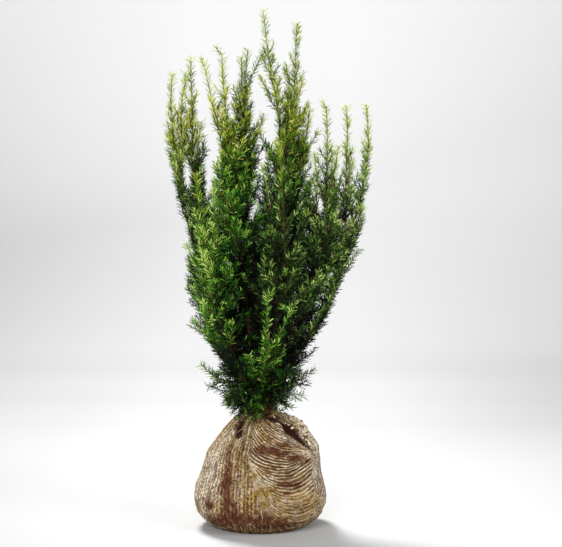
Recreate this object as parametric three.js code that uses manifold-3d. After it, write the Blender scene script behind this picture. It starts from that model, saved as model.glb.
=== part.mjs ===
// A young upright yew, balled and sacked as a nursery sells it. Its soil ball is wrapped in coarse jute sacking
// that is gathered round the foot of the trunk. Millimetres, +Z up. The origin is the centre of the ball's flat
// underside, +X is to the plant's right and -Y is its front.
import * as THREE from 'three';
import { mergeVertices } from 'three/addons/utils/BufferGeometryUtils.js';
import Module from 'manifold-3d';

const wasm = await Module();
wasm.setup();
const { lerp, smoothstep } = THREE.MathUtils;

// ---------- driving dimensions ----------
const CLEARANCE = 0.3; // gap left between neighbouring pieces
const SKIP_GAP = 0.4; // a spray that would come nearer than this to another piece is left out

const BALL_HEIGHT = 238; // underside to the flat top that the trunk stands on
const BALL_RADIUS = 138; // at its widest
const BALL_FOOT_RADIUS = 92; // the flat underside
const BALL_NECK_RADIUS = 40; // the flat top, under the gathered collar
const BALL_SEGMENTS = 40;
const PLEATS = 10; // folds of sacking that run down from the neck
const PLEAT_DEPTH = 4.5;
const SHOULDER_BULGE = 21; // extra fullness of the right shoulder
const FOLD_RADIUS = 10; // the roll of sacking that lies on that shoulder
const GROOVE_RADIUS = 7; // the opening beside the roll

const TRUNK_RADIUS = 12; // just above the root flare
const TRUNK_TIP_RADIUS = 6;
const TRUNK_FLARE = 6; // how far the flare adds to the radius at the foot
const TRUNK_FLARE_SHARE = 0.12; // of the trunk's length
const TRUNK_FOOT = [-4, 0, BALL_HEIGHT - 3]; // just under its flat cut
const TRUNK_BEND = [-14, 4, 400];
const TRUNK_TIP = [4, 0, 556];

const BOUGH_SIDES = 5;
const BOUGH_TAPER = 0.62; // tip radius as a share of the foot radius

const WOOD_TIP_RADIUS = 2; // of a shoot, where its needles begin
const TIP_REACH = 13; // how far the highest needles of a shoot stand out from its middle
const TOOTH_PITCH = 66; // length of shoot to each tooth
const TOOTH_LEAN = 1.1; // how far a tooth leans forward, in steps between rings
const WOOD_STEPS = 2; // rings along the bare part of a leader
const LEADER_NEEDLED = 310; // the most of a leader's length that has needles
const LEADER_REACH = 27; // how far its lowest needles stand out
const SIDE_SHOOT = { length: 140, radius: 2.8, reach: 23 };
const SIDE_SHOOT_SPACING = 50; // along the bare part of a leader
// A side shoot is tried at these shares of its length and turns, in radians, before it is left out.
const TRIES = [1, 0.8, 0.65, 0.5].flatMap((share) => [0, 0.5, -0.5, 1, -1].map((turn) => ({ share, turn })));
const ROOT_SIZE = 24; // a side shoot may be sunk in its leader over no more than this
const CROSSING_VOLUME = 60; // and may share no more than this with the other leaders of its mass
const OWN_SPACE = 1.6; // a shoot's tip may be this many times as far from its own stems as from another mass's
const GOLDEN_ANGLE = Math.PI * (3 - Math.sqrt(5));

// ---------- materials ----------
const finish = (color, roughness) => new THREE.MeshStandardMaterial({ color, roughness, metalness: 0 });
const SACKING = finish('#a5895c', 0.95);
const LOOSE_SACKING = finish('#c6ad84', 0.95);
const BARK = finish('#5b3a26', 0.85);
const YOUNG_BARK = finish('#6e4a2c', 0.8);
const OLD_NEEDLES = finish('#24451f', 0.5);
const NEEDLES = finish('#3c6a28', 0.5);
const NEW_NEEDLES = finish('#7c9a3c', 0.55);

// ---------- helpers ----------
const vec = (point) => new THREE.Vector3(...point);

// Seeded random numbers from 0 to 1, the same on every run.
function seeded(seed) {
  let state = seed;
  return () => {
    state = (state + 0x6d2b79f5) >>> 0;
    let t = Math.imul(state ^ (state >>> 15), state | 1);
    t = (t + Math.imul(t ^ (t >>> 7), t | 61)) ^ t;
    return ((t ^ (t >>> 14)) >>> 0) / 4294967296;
  };
}

function solidOf(geometry) {
  const bare = geometry.clone();
  bare.deleteAttribute('normal');
  bare.deleteAttribute('uv');
  const merged = mergeVertices(bare, 1e-3);
  return new wasm.Manifold(new wasm.Mesh({
    numProp: 3,
    vertProperties: merged.attributes.position.array,
    triVerts: merged.index.array,
  }));
}

function namedMesh(name, solid, material) {
  const { vertProperties, triVerts } = solid.getMesh();
  const geometry = new THREE.BufferGeometry();
  geometry.setAttribute('position', new THREE.BufferAttribute(vertProperties, 3));
  geometry.setIndex(new THREE.BufferAttribute(triVerts, 1));
  geometry.computeVertexNormals();
  const mesh = new THREE.Mesh(geometry, material);
  mesh.name = name;
  return mesh;
}

const largestBody = (solid) => solid.decompose().sort((a, b) => b.volume() - a.volume())[0];

// Two unit vectors across a direction, right-handed with it.
function frameAcross(direction) {
  const reference = Math.abs(direction.y) < 0.9 ? new THREE.Vector3(0, 1, 0) : new THREE.Vector3(1, 0, 0);
  const side = new THREE.Vector3().crossVectors(direction, reference).normalize();
  return { side, other: new THREE.Vector3().crossVectors(side, direction) };
}

// A tapering limb along a curve: a cylinder whose rings are carried to their places on the curve.
function limbSolid(curve, radiusAt, sides, steps) {
  const geometry = new THREE.CylinderGeometry(1, 1, 1, sides, steps);
  const position = geometry.attributes.position;
  for (let i = 0; i < position.count; i++) {
    const along = position.getY(i) + 0.5;
    const radius = radiusAt(along);
    const { side, other } = frameAcross(curve.getTangent(along));
    const point = curve.getPoint(along);
    point.addScaledVector(side, position.getX(i) * radius);
    point.addScaledVector(other, position.getZ(i) * radius);
    position.setXYZ(i, point.x, point.y, point.z);
  }
  return solidOf(geometry);
}

// ---------- root ball ----------
// [radius, height] of the wrapped ball from the rim of its underside to the rim of its flat top.
const BALL_PROFILE = [
  [BALL_FOOT_RADIUS, 0], [110, 9], [128, 26], [136, 44], [BALL_RADIUS, 65], [135, 82], [129, 98], [119, 121],
  [110, 146], [99, 170], [79, 195], [59, 220], [48, 231], [BALL_NECK_RADIUS, BALL_HEIGHT],
];

// How far the sacking stands out from the profile: pleats that fade down from the neck, a full right shoulder
// and the slow lumps of the soil.
function sackingRelief(angle, height) {
  const up = height / BALL_HEIGHT;
  const belowNeck = 1 - smoothstep(up, 0.93, 1);
  const pleats = PLEAT_DEPTH * smoothstep(up, 0.25, 0.8) * Math.cos(PLEATS * angle + 2 * Math.sin(angle));
  const shoulder = SHOULDER_BULGE * smoothstep(up, 0.35, 0.85) * (0.5 + 0.5 * Math.cos(angle + 0.3));
  const lumps = 2.5 * Math.sin(2 * angle + 1) * Math.sin(Math.PI * up);
  return (pleats + shoulder) * belowNeck + lumps;
}

// The place over the sacking at an angle and a height, lifted off the profile.
function overBall(angle, height, lift) {
  const above = Math.max(1, BALL_PROFILE.findIndex(([, z]) => z >= height));
  const [[lowRadius, low], [highRadius, high]] = BALL_PROFILE.slice(above - 1, above + 1);
  const profileRadius = lerp(lowRadius, highRadius, (height - low) / (high - low));
  const radius = profileRadius + sackingRelief(angle, height) + lift;
  return new THREE.Vector3(radius * Math.cos(angle), radius * Math.sin(angle), height);
}

const foldCurve = new THREE.CatmullRomCurve3([
  overBall(-0.3, 235, 6), overBall(-0.36, 222, 6), overBall(-0.34, 200, 5), overBall(-0.3, 174, 4),
  overBall(-0.24, 150, 1),
]);
const grooveCurve = new THREE.CatmullRomCurve3([
  overBall(-0.8, 236, 0), overBall(-0.72, 224, 0), overBall(-0.6, 205, 0), overBall(-0.5, 180, 0),
  overBall(-0.42, 158, 0),
]);
const PINCHED_OPENING = { size: [7, 14, 18], place: [-43, -50, 219] };

// A roll along a curve, thickest in its middle.
const rollSolid = (curve, radius) => limbSolid(
  curve, (along) => radius * (0.55 + 0.45 * Math.sin(Math.PI * along)), 8, 6);

function pinchedOpening() {
  const geometry = new THREE.SphereGeometry(1, 8, 6);
  geometry.scale(...PINCHED_OPENING.size);
  geometry.translate(...PINCHED_OPENING.place);
  return solidOf(geometry);
}

function ballSolid() {
  const profile = [[0, 0], ...BALL_PROFILE, [0, BALL_HEIGHT]].map(([r, z]) => new THREE.Vector2(r, z));
  const geometry = new THREE.LatheGeometry(profile, BALL_SEGMENTS);
  geometry.rotateX(Math.PI / 2);
  const position = geometry.attributes.position;
  for (let i = 0; i < position.count; i++) {
    const [x, y, z] = [position.getX(i), position.getY(i), position.getZ(i)];
    const radius = Math.hypot(x, y);
    if (radius < BALL_NECK_RADIUS || z < 1) continue;
    const grown = 1 + sackingRelief(Math.atan2(y, x), z) / radius;
    position.setXYZ(i, x * grown, y * grown, z);
  }
  return solidOf(geometry);
}

// The gathered neck: a ring of sacking round the trunk's foot, pleated on its outside and open in its middle.
function collarSolid() {
  const section = [[20, 0], [34, 0], [36, 5], [31, 12], [25, 16], [21, 14], [20, 0]];
  const base = BALL_HEIGHT + CLEARANCE;
  const geometry = new THREE.LatheGeometry(section.map(([r, z]) => new THREE.Vector2(r, base + z)), 2 * PLEATS);
  geometry.rotateX(Math.PI / 2);
  const position = geometry.attributes.position;
  for (let i = 0; i < position.count; i++) {
    const [x, y] = [position.getX(i), position.getY(i)];
    const grown = Math.hypot(x, y) < 24 ? 1 : 1 + 0.07 * Math.cos(PLEATS * Math.atan2(y, x));
    position.setXYZ(i, x * grown + TRUNK_FOOT[0], y * grown + TRUNK_FOOT[1], position.getZ(i));
  }
  return solidOf(geometry);
}

// ---------- trunk and boughs ----------
const trunkCurve = new THREE.QuadraticBezierCurve3(vec(TRUNK_FOOT), vec(TRUNK_BEND), vec(TRUNK_TIP));

function trunkSolid(extra = 0) {
  const radiusAt = (along) => extra + lerp(TRUNK_RADIUS, TRUNK_TIP_RADIUS, along)
    + TRUNK_FLARE * (1 - smoothstep(along, 0, TRUNK_FLARE_SHARE));
  return limbSolid(trunkCurve, radiusAt, 10, 10);
}

// The foot of the trunk is cut flat, just clear of the ball.
function cutFlat(trunk) {
  const slab = new THREE.BoxGeometry(4 * BALL_NECK_RADIUS, 4 * BALL_NECK_RADIUS, 20);
  slab.translate(TRUNK_FOOT[0], TRUNK_FOOT[1], BALL_HEIGHT + CLEARANCE - 10);
  return trunk.subtract(solidOf(slab));
}

// Each bough leaves the trunk at a share of its length and ends at the foot of the foliage that it carries.
const BOUGHS = {
  left_front: { leaves: 0.12, end: [-46, -38, 340], radius: 8 },
  left_outer: { leaves: 0.22, end: [-84, 8, 435], radius: 9 },
  left_back: { leaves: 0.15, end: [-58, 48, 355], radius: 7 },
  centre_left_front: { leaves: 0.42, end: [-34, -20, 500], radius: 7 },
  centre_left: { leaves: 0.62, end: [-28, 20, 535], radius: 6 },
  centre_front: { leaves: 0.2, end: [18, -44, 352], radius: 7 },
  top_centre: { leaves: 0.7, end: [36, -6, 585], radius: 5.5 },
  top_right: { leaves: 0.36, end: [44, 24, 460], radius: 8 },
  right_inner: { leaves: 0.28, end: [72, -28, 425], radius: 7.5 },
  right_outer: { leaves: 0.14, end: [82, 6, 368], radius: 8.5 },
  right_back: { leaves: 0.19, end: [64, 46, 372], radius: 7 },
  back_left: { leaves: 0.32, end: [-28, 50, 430], radius: 6.5 },
  back_right: { leaves: 0.46, end: [14, 62, 455], radius: 6.5 },
  back_low: { leaves: 0.12, end: [2, 60, 350], radius: 6.5 },
};

// A bough leans out from the trunk and then turns up.
function boughCurve({ leaves, end }) {
  const from = trunkCurve.getPoint(leaves);
  const to = vec(end);
  const bend = new THREE.Vector3(lerp(from.x, to.x, 0.62), lerp(from.y, to.y, 0.62), lerp(from.z, to.z, 0.34));
  return new THREE.QuadraticBezierCurve3(from, bend, to);
}

function boughSolid(bough) {
  const radiusAt = (along) => bough.radius * lerp(1, BOUGH_TAPER, along);
  const whole = limbSolid(boughCurve(bough), radiusAt, BOUGH_SIDES, 4);
  return largestBody(whole.subtract(trunkSolid(CLEARANCE)));
}

// ---------- foliage ----------
// A mass grows from one stem, which goes on from its bough's end to the first of its tips. The other leaders part
// from that stem at the share of its length that stands before their tip. A number after a tip is how far the
// leader bows sideways. `reach` scales the side sprays.
const MASSES = {
  left_outer: { reach: 0.8, needles: NEEDLES, leaders: [
    [0, [-185, 30, 951], -28], [0.12, [-143, -18, 980]], [0.3, [-124, 40, 852]], [0.55, [-155, 6, 953]],
  ] },
  left_front: { reach: 0.9, needles: NEW_NEEDLES, leaders: [
    [0, [-128, -98, 739]], [0.3, [-92, -98, 711]], [0.1, [-150, -70, 597]],
  ] },
  left_back: { reach: 0.95, needles: OLD_NEEDLES, leaders: [
    [0, [-136, 98, 772]], [0.3, [-100, 130, 690]], [0.05, [-150, 52, 560]],
  ] },
  centre_left_front: { reach: 0.8, needles: NEW_NEEDLES, leaders: [[0, [-78, -36, 987]], [0.2, [-114, -48, 966]]] },
  centre_left: { reach: 0.8, needles: NEEDLES, leaders: [
    [0, [-25, 10, 1001]], [0.45, [6, 24, 994], -30], [0.3, [8, 50, 868]], [0.4, [-38, -10, 982]],
  ] },
  centre_front: { reach: 0.95, needles: NEEDLES, leaders: [
    [0, [40, -85, 808]], [0.3, [4, -82, 758]], [0.2, [100, -92, 666]],
  ] },
  top_centre: { reach: 0.6, needles: NEW_NEEDLES, leaders: [
    [0, [7, -15, 1077], -22], [0.35, [36, -24, 939]],
  ] },
  top_right: { reach: 0.8, needles: NEW_NEEDLES, leaders: [
    [0, [78, 30, 1058], -44], [0.45, [55, 52, 973]], [0.3, [106, 38, 880]],
  ] },
  right_inner: { reach: 0.8, needles: NEEDLES, leaders: [
    [0, [136, -75, 878]], [0.3, [162, -58, 797]], [0.25, [112, -98, 780]],
  ] },
  right_outer: { reach: 0.85, needles: NEEDLES, leaders: [
    [0, [223, 25, 886], 34], [0.3, [180, 6, 885]], [0.15, [209, 18, 583]],
  ] },
  right_back: { reach: 0.95, needles: OLD_NEEDLES, leaders: [[0, [156, 95, 793]], [0.3, [184, 80, 700]]] },
  back_left: { reach: 0.95, needles: OLD_NEEDLES, leaders: [[0, [-62, 105, 862]], [0.3, [-20, 142, 770]]] },
  back_right: { reach: 0.95, needles: OLD_NEEDLES, leaders: [[0, [68, 115, 902]], [0.3, [100, 140, 800]]] },
  back_low: { reach: 0.95, needles: OLD_NEEDLES, leaders: [[0, [9, 150, 640]], [0.25, [50, 138, 560]]] },
  heart: { reach: 0.9, needles: OLD_NEEDLES, leaders: [[0, [20, 14, 800]]] },
};

// The skirts are low shoots that spring from the trunk at a share of its length.
const SKIRTS = {
  low_front: { leaves: 0.1, reach: 0.8, needles: NEW_NEEDLES, leaders: [
    [0, [17, -122, 500]], [0.3, [68, -116, 473]], [0.15, [-22, -84, 370]],
  ] },
  low_left: { leaves: 0.06, reach: 0.8, needles: OLD_NEEDLES, leaders: [
    [0, [-126, 10, 340]], [0.15, [-108, -48, 300]], [0.1, [-72, -74, 284]],
  ] },
  low_right: { leaves: 0.08, reach: 0.8, needles: OLD_NEEDLES, leaders: [
    [0, [116, 0, 330]], [0.15, [90, -58, 282]], [0.1, [92, 50, 318]],
  ] },
  low_back: { leaves: 0.05, reach: 0.8, needles: OLD_NEEDLES, leaders: [[0, [-34, 104, 350]], [0.2, [52, 96, 350]]] },
};

// Where a mass's stem starts and which way it sets out.
function massFoot(name) {
  if (name in BOUGHS) {
    const curve = boughCurve(BOUGHS[name]);
    return { point: curve.getPoint(1), heading: curve.getTangent(1), radius: BOUGHS[name].radius * BOUGH_TAPER };
  }
  if (name in SKIRTS) {
    const point = trunkCurve.getPoint(SKIRTS[name].leaves);
    const out = vec(SKIRTS[name].leaders[0][1]).sub(point);
    return { point, heading: out.setZ(0.45 * Math.hypot(out.x, out.y)).normalize(), radius: 4.5 };
  }
  return { point: vec(TRUNK_TIP), heading: trunkCurve.getTangent(1), radius: TRUNK_TIP_RADIUS };
}

// A leader sets out along a heading and bends to its tip. A bow moves the upper part of its bend sideways.
function leaderCurve(from, heading, tip, bow = 0) {
  const bend = from.clone().addScaledVector(heading, 0.45 * from.distanceTo(tip));
  const lower = from.clone().lerp(bend, 2 / 3);
  const upper = tip.clone().lerp(bend, 2 / 3);
  upper.x += bow;
  return new THREE.CubicBezierCurve3(from, lower, upper, tip);
}

function massLeaders(name, { leaders }) {
  const { point, heading, radius } = massFoot(name);
  const start = point.clone().addScaledVector(heading, CLEARANCE);
  const stem = { curve: leaderCurve(start, heading, vec(leaders[0][1]), leaders[0][2]), radius };
  const others = leaders.slice(1).map(([share, tip, bow]) => {
    const from = stem.curve.getPoint(share);
    const out = vec(tip).sub(from).normalize().add(stem.curve.getTangent(share)).normalize();
    return { curve: leaderCurve(from, out, vec(tip), bow), radius: lerp(radius, WOOD_TIP_RADIUS, share) * 0.8 };
  });
  return [stem, ...others].map((leader) => {
    const length = leader.curve.getLength();
    return { ...leader, length, bareShare: 1 - Math.min(LEADER_NEEDLED / length, 0.78) };
  });
}

// A shoot: a bare round foot, then needles in three rows of teeth that lean forward from a slim core. It is a
// six-sided cone whose rings are carried along the curve, with every second corner drawn out to a tooth.
function shootSolid({ curve, radius, bareShare, woodSteps, reach }) {
  const teeth = Math.max(2, Math.round((curve.getLength() * (1 - bareShare)) / TOOTH_PITCH));
  const steps = woodSteps + 2 * teeth;
  const geometry = new THREE.ConeGeometry(1, 1, 6, steps);
  const position = geometry.attributes.position;
  const interval = (1 - bareShare) / (2 * teeth);
  for (let i = 0; i < position.count; i++) {
    const angle = Math.atan2(position.getZ(i), position.getX(i));
    const ring = Math.round((position.getY(i) + 0.5) * steps);
    const needled = Math.max(0, ring - woodSteps);
    const along = needled > 0 ? bareShare + interval * needled : (bareShare * ring) / Math.max(1, woodSteps);
    const isTooth = needled % 2 === 1 && Math.sin(3 * angle) > 0.5;
    const core = lerp(radius, WOOD_TIP_RADIUS, Math.min(1, ring / (woodSteps + 1))) * (ring === steps ? 0 : 1);
    const out = isTooth ? lerp(reach, TIP_REACH, (needled - 1) / (2 * teeth - 2)) : core;
    const { side, other } = frameAcross(curve.getTangent(along));
    const point = curve.getPoint(isTooth ? Math.min(0.985, along + TOOTH_LEAN * interval) : along);
    point.addScaledVector(side, out * Math.cos(angle)).addScaledVector(other, out * Math.sin(angle));
    position.setXYZ(i, point.x, point.y, point.z);
  }
  return solidOf(geometry);
}

// A place on the straight-sided foot of a leader, where its rings are joined by chords.
function onWood({ curve, bareShare }, share) {
  const step = Math.min(WOOD_STEPS - 1, Math.floor(share * WOOD_STEPS));
  const [low, high] = [step, step + 1].map((ring) => curve.getPoint((bareShare * ring) / WOOD_STEPS));
  return low.lerp(high, share * WOOD_STEPS - step);
}

// Side shoots stand round the bare part of a leader by the golden angle, longest low down. Each leans out and
// turns up.
function sideShoots(leader, reach, random) {
  const bareLength = leader.length * leader.bareShare;
  const count = Math.max(1, Math.round(bareLength / SIDE_SHOOT_SPACING));
  let azimuth = random() * 2 * Math.PI;
  return Array.from({ length: count }, (_, i) => {
    azimuth += GOLDEN_ANGLE;
    const share = (i + 0.35 + 0.4 * random()) / count;
    const length = SIDE_SHOOT.length * reach * (1 - 0.3 * share) * (0.85 + 0.3 * random());
    return { root: onWood(leader, share), azimuth, length, rise: 0.85 + 0.25 * random() };
  });
}

function sideShootSolid({ root, azimuth, length, rise }) {
  const toward = (elevation) => new THREE.Vector3(
    Math.cos(azimuth) * Math.cos(elevation), Math.sin(azimuth) * Math.cos(elevation), Math.sin(elevation));
  const tip = root.clone().addScaledVector(toward(rise), length);
  const curve = leaderCurve(root, toward(rise - 0.35), tip);
  const { radius, reach } = SIDE_SHOOT;
  return { tip, solid: shootSolid({ curve, radius, reach, bareShare: 0, woodSteps: 0 }) };
}

// ---------- assembly ----------
const nodes = new Map(); // name -> its solid and material

function place(name, solid, material) {
  nodes.set(name, { solid, material });
}

function tooNear(solid, other) {
  const [box, otherBox] = [solid.boundingBox(), other.boundingBox()];
  const apart = [0, 1, 2].some((k) => box.min[k] - otherBox.max[k] > SKIP_GAP
    || otherBox.min[k] - box.max[k] > SKIP_GAP);
  return !apart && solid.minGap(other, 2 * SKIP_GAP) < SKIP_GAP;
}

const touchesOther = (name, solid) => [...nodes].some(([other, node]) => other !== name
  && tooNear(solid, node.solid));

place('root_ball', largestBody(ballSolid().subtract(rollSolid(foldCurve, FOLD_RADIUS + CLEARANCE))
  .subtract(rollSolid(grooveCurve, GROOVE_RADIUS)).subtract(pinchedOpening())), SACKING);
place('sacking_fold', rollSolid(foldCurve, FOLD_RADIUS), LOOSE_SACKING);
place('sacking_collar', collarSolid(), LOOSE_SACKING);
place('trunk', cutFlat(trunkSolid()), BARK);
for (const [name, bough] of Object.entries(BOUGHS)) place(`bough_${name}`, boughSolid(bough), YOUNG_BARK);

// Every mass gets its leaders before any mass gets its side shoots, so that no side shoot is in their way.
const growing = Object.entries({ ...MASSES, ...SKIRTS }).map(([name, mass], index) => {
  const leaders = massLeaders(name, mass).map((leader) => (
    { ...leader, solid: shootSolid({ ...leader, woodSteps: WOOD_STEPS, reach: LEADER_REACH }) }));
  const joined = wasm.Manifold.union(leaders.map(({ solid }) => solid));
  const clear = name in SKIRTS ? largestBody(joined.subtract(trunkSolid(CLEARANCE))) : joined;
  place(`foliage_${name}`, clear, mass.needles);
  const samples = leaders.flatMap(({ curve }) => curve.getPoints(12));
  return { name: `foliage_${name}`, mass, leaders, samples, shoots: [], random: seeded(index + 1) };
});

const distanceTo = (samples, point) => Math.min(...samples.map((sample) => sample.distanceTo(point)));

// A shoot keeps to its mass's own space where its tip isn't much nearer to the stems of another mass.
function inOwnSpace(grower, tip) {
  const own = distanceTo(grower.samples, tip);
  return growing.every((other) => other === grower || own < OWN_SPACE * distanceTo(other.samples, tip));
}

// A side shoot is clear of its own mass where it meets its leader only at its root, crosses no more than an
// edge of the other leaders and touches no side shoot.
function clearOfOwn(grower, leader, solid) {
  const { min, max } = solid.intersect(leader.solid).boundingBox();
  const rootSize = Math.max(...[0, 1, 2].map((k) => max[k] - min[k]));
  const crossing = grower.leaders.filter((other) => other !== leader)
    .reduce((sum, other) => sum + solid.intersect(other.solid).volume(), 0);
  return rootSize < ROOT_SIZE && crossing < CROSSING_VOLUME
    && !grower.shoots.some((other) => tooNear(solid, other));
}

// Adds a side shoot at the first of the tried lengths and turns where it fits.
function growShoot(grower, leader, shoot) {
  for (const { share, turn } of TRIES) {
    const { tip, solid } = sideShootSolid(
      { ...shoot, azimuth: shoot.azimuth + turn, length: shoot.length * share });
    if (inOwnSpace(grower, tip) && clearOfOwn(grower, leader, solid) && !touchesOther(grower.name, solid)) {
      nodes.get(grower.name).solid = nodes.get(grower.name).solid.add(solid);
      grower.shoots.push(solid);
      return;
    }
  }
}

for (const grower of growing) {
  for (const leader of grower.leaders) {
    for (const shoot of sideShoots(leader, grower.mass.reach, grower.random)) growShoot(grower, leader, shoot);
  }
}

const plant = new THREE.Group();
for (const [name, { solid, material }] of nodes) plant.add(namedMesh(name, largestBody(solid), material));
export default plant;
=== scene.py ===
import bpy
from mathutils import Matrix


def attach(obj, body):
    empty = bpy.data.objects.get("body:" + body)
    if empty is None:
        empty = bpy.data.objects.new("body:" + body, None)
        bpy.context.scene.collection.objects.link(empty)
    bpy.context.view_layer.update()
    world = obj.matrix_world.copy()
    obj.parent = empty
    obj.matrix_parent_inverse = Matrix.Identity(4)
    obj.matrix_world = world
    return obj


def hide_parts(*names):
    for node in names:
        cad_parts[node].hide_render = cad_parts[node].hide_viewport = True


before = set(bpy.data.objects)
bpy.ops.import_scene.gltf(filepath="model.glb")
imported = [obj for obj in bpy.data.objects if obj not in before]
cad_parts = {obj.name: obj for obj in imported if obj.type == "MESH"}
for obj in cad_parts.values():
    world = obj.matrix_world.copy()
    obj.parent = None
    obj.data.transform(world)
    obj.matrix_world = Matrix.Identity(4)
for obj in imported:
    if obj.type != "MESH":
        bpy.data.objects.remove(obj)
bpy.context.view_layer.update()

# A young upright yew, balled in jute sacking. The crown grows by the rule of the part's source, carried to finer
# twigs and single needles. Shapes are worked out in millimetres and put into their meshes in metres.
import math

import bpy
import numpy as np

MM = 0.001
GOLDEN_ANGLE = math.pi * (3 - math.sqrt(5))


# ---------- colours and nodes ----------
def linear(hex_colour):
    """sRGB hex to linear RGBA: ((c + 0.055) / 1.055) ^ 2.4, or c / 12.92 where c is under 0.04045."""
    srgb = np.array([int(hex_colour[i:i + 2], 16) for i in (1, 3, 5)]) / 255
    rgb = np.where(srgb > 0.04045, ((srgb + 0.055) / 1.055) ** 2.4, srgb / 12.92)
    return (*rgb.tolist(), 1.0)


def add_node(tree, kind, sockets=None, output=0, stops=(), **settings):
    """Adds one shader node with its settings. Each socket given gets a link where its value is another socket, and
    else that number, vector or hex colour. Stops are the (position, hex colour) pairs of a ramp. Returns one
    output."""
    node = tree.nodes.new("ShaderNode" + kind)
    for name, value in settings.items():
        setattr(node, name, value)
    for socket, value in (sockets or {}).items():
        if isinstance(value, bpy.types.NodeSocket):
            tree.links.new(value, node.inputs[socket])
        else:
            node.inputs[socket].default_value = linear(value) if isinstance(value, str) else value
    elements = node.color_ramp.elements if stops else ()
    while len(elements) < len(stops):
        elements.new(0.5)
    for element, (position, colour) in zip(elements, stops):
        element.position, element.color = position, linear(colour)
    return node.outputs[output]


def layered(tree, colour, *layers):
    """Lays colours over a first one in turn. A layer is its factor, its colour and, where it isn't simply mixed in,
    its blend type. Factor and colour are sockets or plain values."""
    for factor, above, *blend in layers:
        colour = add_node(tree, "Mix", {0: factor, 6: colour, 7: above}, 2, data_type="RGBA",
                          blend_type=blend[0] if blend else "MIX")
    return colour


def new_material(name, roughness, **sockets):
    """A material with one Principled shader, whose constant sockets are set on it."""
    material = bpy.data.materials.new(name)
    material.use_nodes = True
    shader = material.node_tree.nodes["Principled BSDF"]
    shader.inputs["Roughness"].default_value = roughness
    for socket, value in sockets.items():
        shader.inputs[socket.replace("_", " ")].default_value = value
    return material, material.node_tree, shader


# ---------- objects and meshes ----------
def add_object(name, data):
    made = bpy.data.objects.new(name, data)
    bpy.context.scene.collection.objects.link(made)
    return made


def mesh_object(name, vertices, faces, materials, kinds=None, uv=None, attributes=None, smooth=True):
    """One object from whole arrays: vertices in mm, faces as (n, 3) or (n, 4) arrays of vertex numbers, kinds as
    each face's material number, uv for each corner of the faces in turn, and attributes by vertex."""
    mesh = bpy.data.meshes.new(name)
    vertices = np.asarray(vertices, dtype=np.float32) * MM
    sizes = np.concatenate([np.full(len(group), group.shape[1]) for group in faces])
    corners = np.concatenate([group.ravel() for group in faces]).astype(np.int32)
    mesh.vertices.add(len(vertices))
    mesh.vertices.foreach_set("co", vertices.ravel())
    mesh.loops.add(len(corners))
    mesh.loops.foreach_set("vertex_index", corners)
    mesh.polygons.add(len(sizes))
    mesh.polygons.foreach_set("loop_start", np.concatenate([[0], np.cumsum(sizes)[:-1]]).astype(np.int32))
    for material in materials:
        mesh.materials.append(material)
    if kinds is not None:
        mesh.polygons.foreach_set("material_index", np.asarray(kinds, dtype=np.int32))
    if uv is not None:
        mesh.uv_layers.new(name="UVMap").uv.foreach_set("vector", np.asarray(uv, dtype=np.float32).ravel())
    for attribute, values in (attributes or {}).items():
        layer = mesh.attributes.new(attribute, "FLOAT", "POINT")
        layer.data.foreach_set("value", np.asarray(values, dtype=np.float32).ravel())
    mesh.update(calc_edges=True)
    mesh.validate()
    mesh.polygons.foreach_set("use_smooth", np.full(len(sizes), smooth))
    return add_object(name, mesh)


def dress(piece, slot, *nodes):
    """The piece rides on the plant's one body and stands for CAD nodes, which are hidden. The slot is not used."""
    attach(piece, "root")
    if nodes:
        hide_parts(*nodes)
    return piece


def unit(vectors):
    return vectors / np.linalg.norm(vectors, axis=-1, keepdims=True)


def smoothstep(values, low, high):
    t = np.clip((np.asarray(values, dtype=float) - low) / (high - low), 0, 1)
    return t * t * (3 - 2 * t)


def waves(coordinates, seed, count=7, lowest=0.6, highest=3.0):
    """Smooth seeded noise from about -1 to 1: the mean of sines whose phases run at random rates along every
    coordinate. Coordinates are given in periods."""
    rng = np.random.default_rng(seed)
    total = 0
    for _ in range(count):
        rates = rng.uniform(lowest, highest, len(coordinates)) * rng.choice([-1, 1], len(coordinates))
        phase = sum(rate * coordinate for rate, coordinate in zip(rates, coordinates))
        total = total + np.sin(math.tau * (phase + rng.random()))
    return total / math.sqrt(count)


def frames_across(headings):
    """Two unit vectors across each heading, right-handed with it."""
    reference = np.where(np.abs(headings[..., 1:2]) < 0.9, [0.0, 1.0, 0.0], [1.0, 0.0, 0.0])
    side = unit(np.cross(headings, reference))
    return side, np.cross(side, headings)


def wrapped(angle, turn=math.tau):
    """The angle brought to within half a turn of 0."""
    return (angle + turn / 2) % turn - turn / 2


def round_angles(count, closed=False):
    """Count angles round a full turn, and its end as well where closed."""
    return np.arange(count + closed) * math.tau / count


def grid_faces(rows, columns, wrap_rows=False, wrap_columns=True):
    """Quads of a grid whose rows and columns wrap round where that is asked."""
    row, column = np.meshgrid(np.arange(rows if wrap_rows else rows - 1),
                              np.arange(columns if wrap_columns else columns - 1), indexing="ij")
    next_row, next_column = (row + 1) % rows, (column + 1) % columns
    return np.stack([row * columns + column, row * columns + next_column, next_row * columns + next_column,
                     next_row * columns + column], axis=-1).reshape(-1, 4)


def fan(centre, ring, flip=False):
    """Triangles from a centre to each side of a closed ring of vertex numbers, or the other way round."""
    triangles = np.stack([np.full(len(ring), centre), ring, np.roll(ring, -1)], axis=-1)
    return triangles[:, [0, 2, 1]] if flip else triangles


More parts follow.
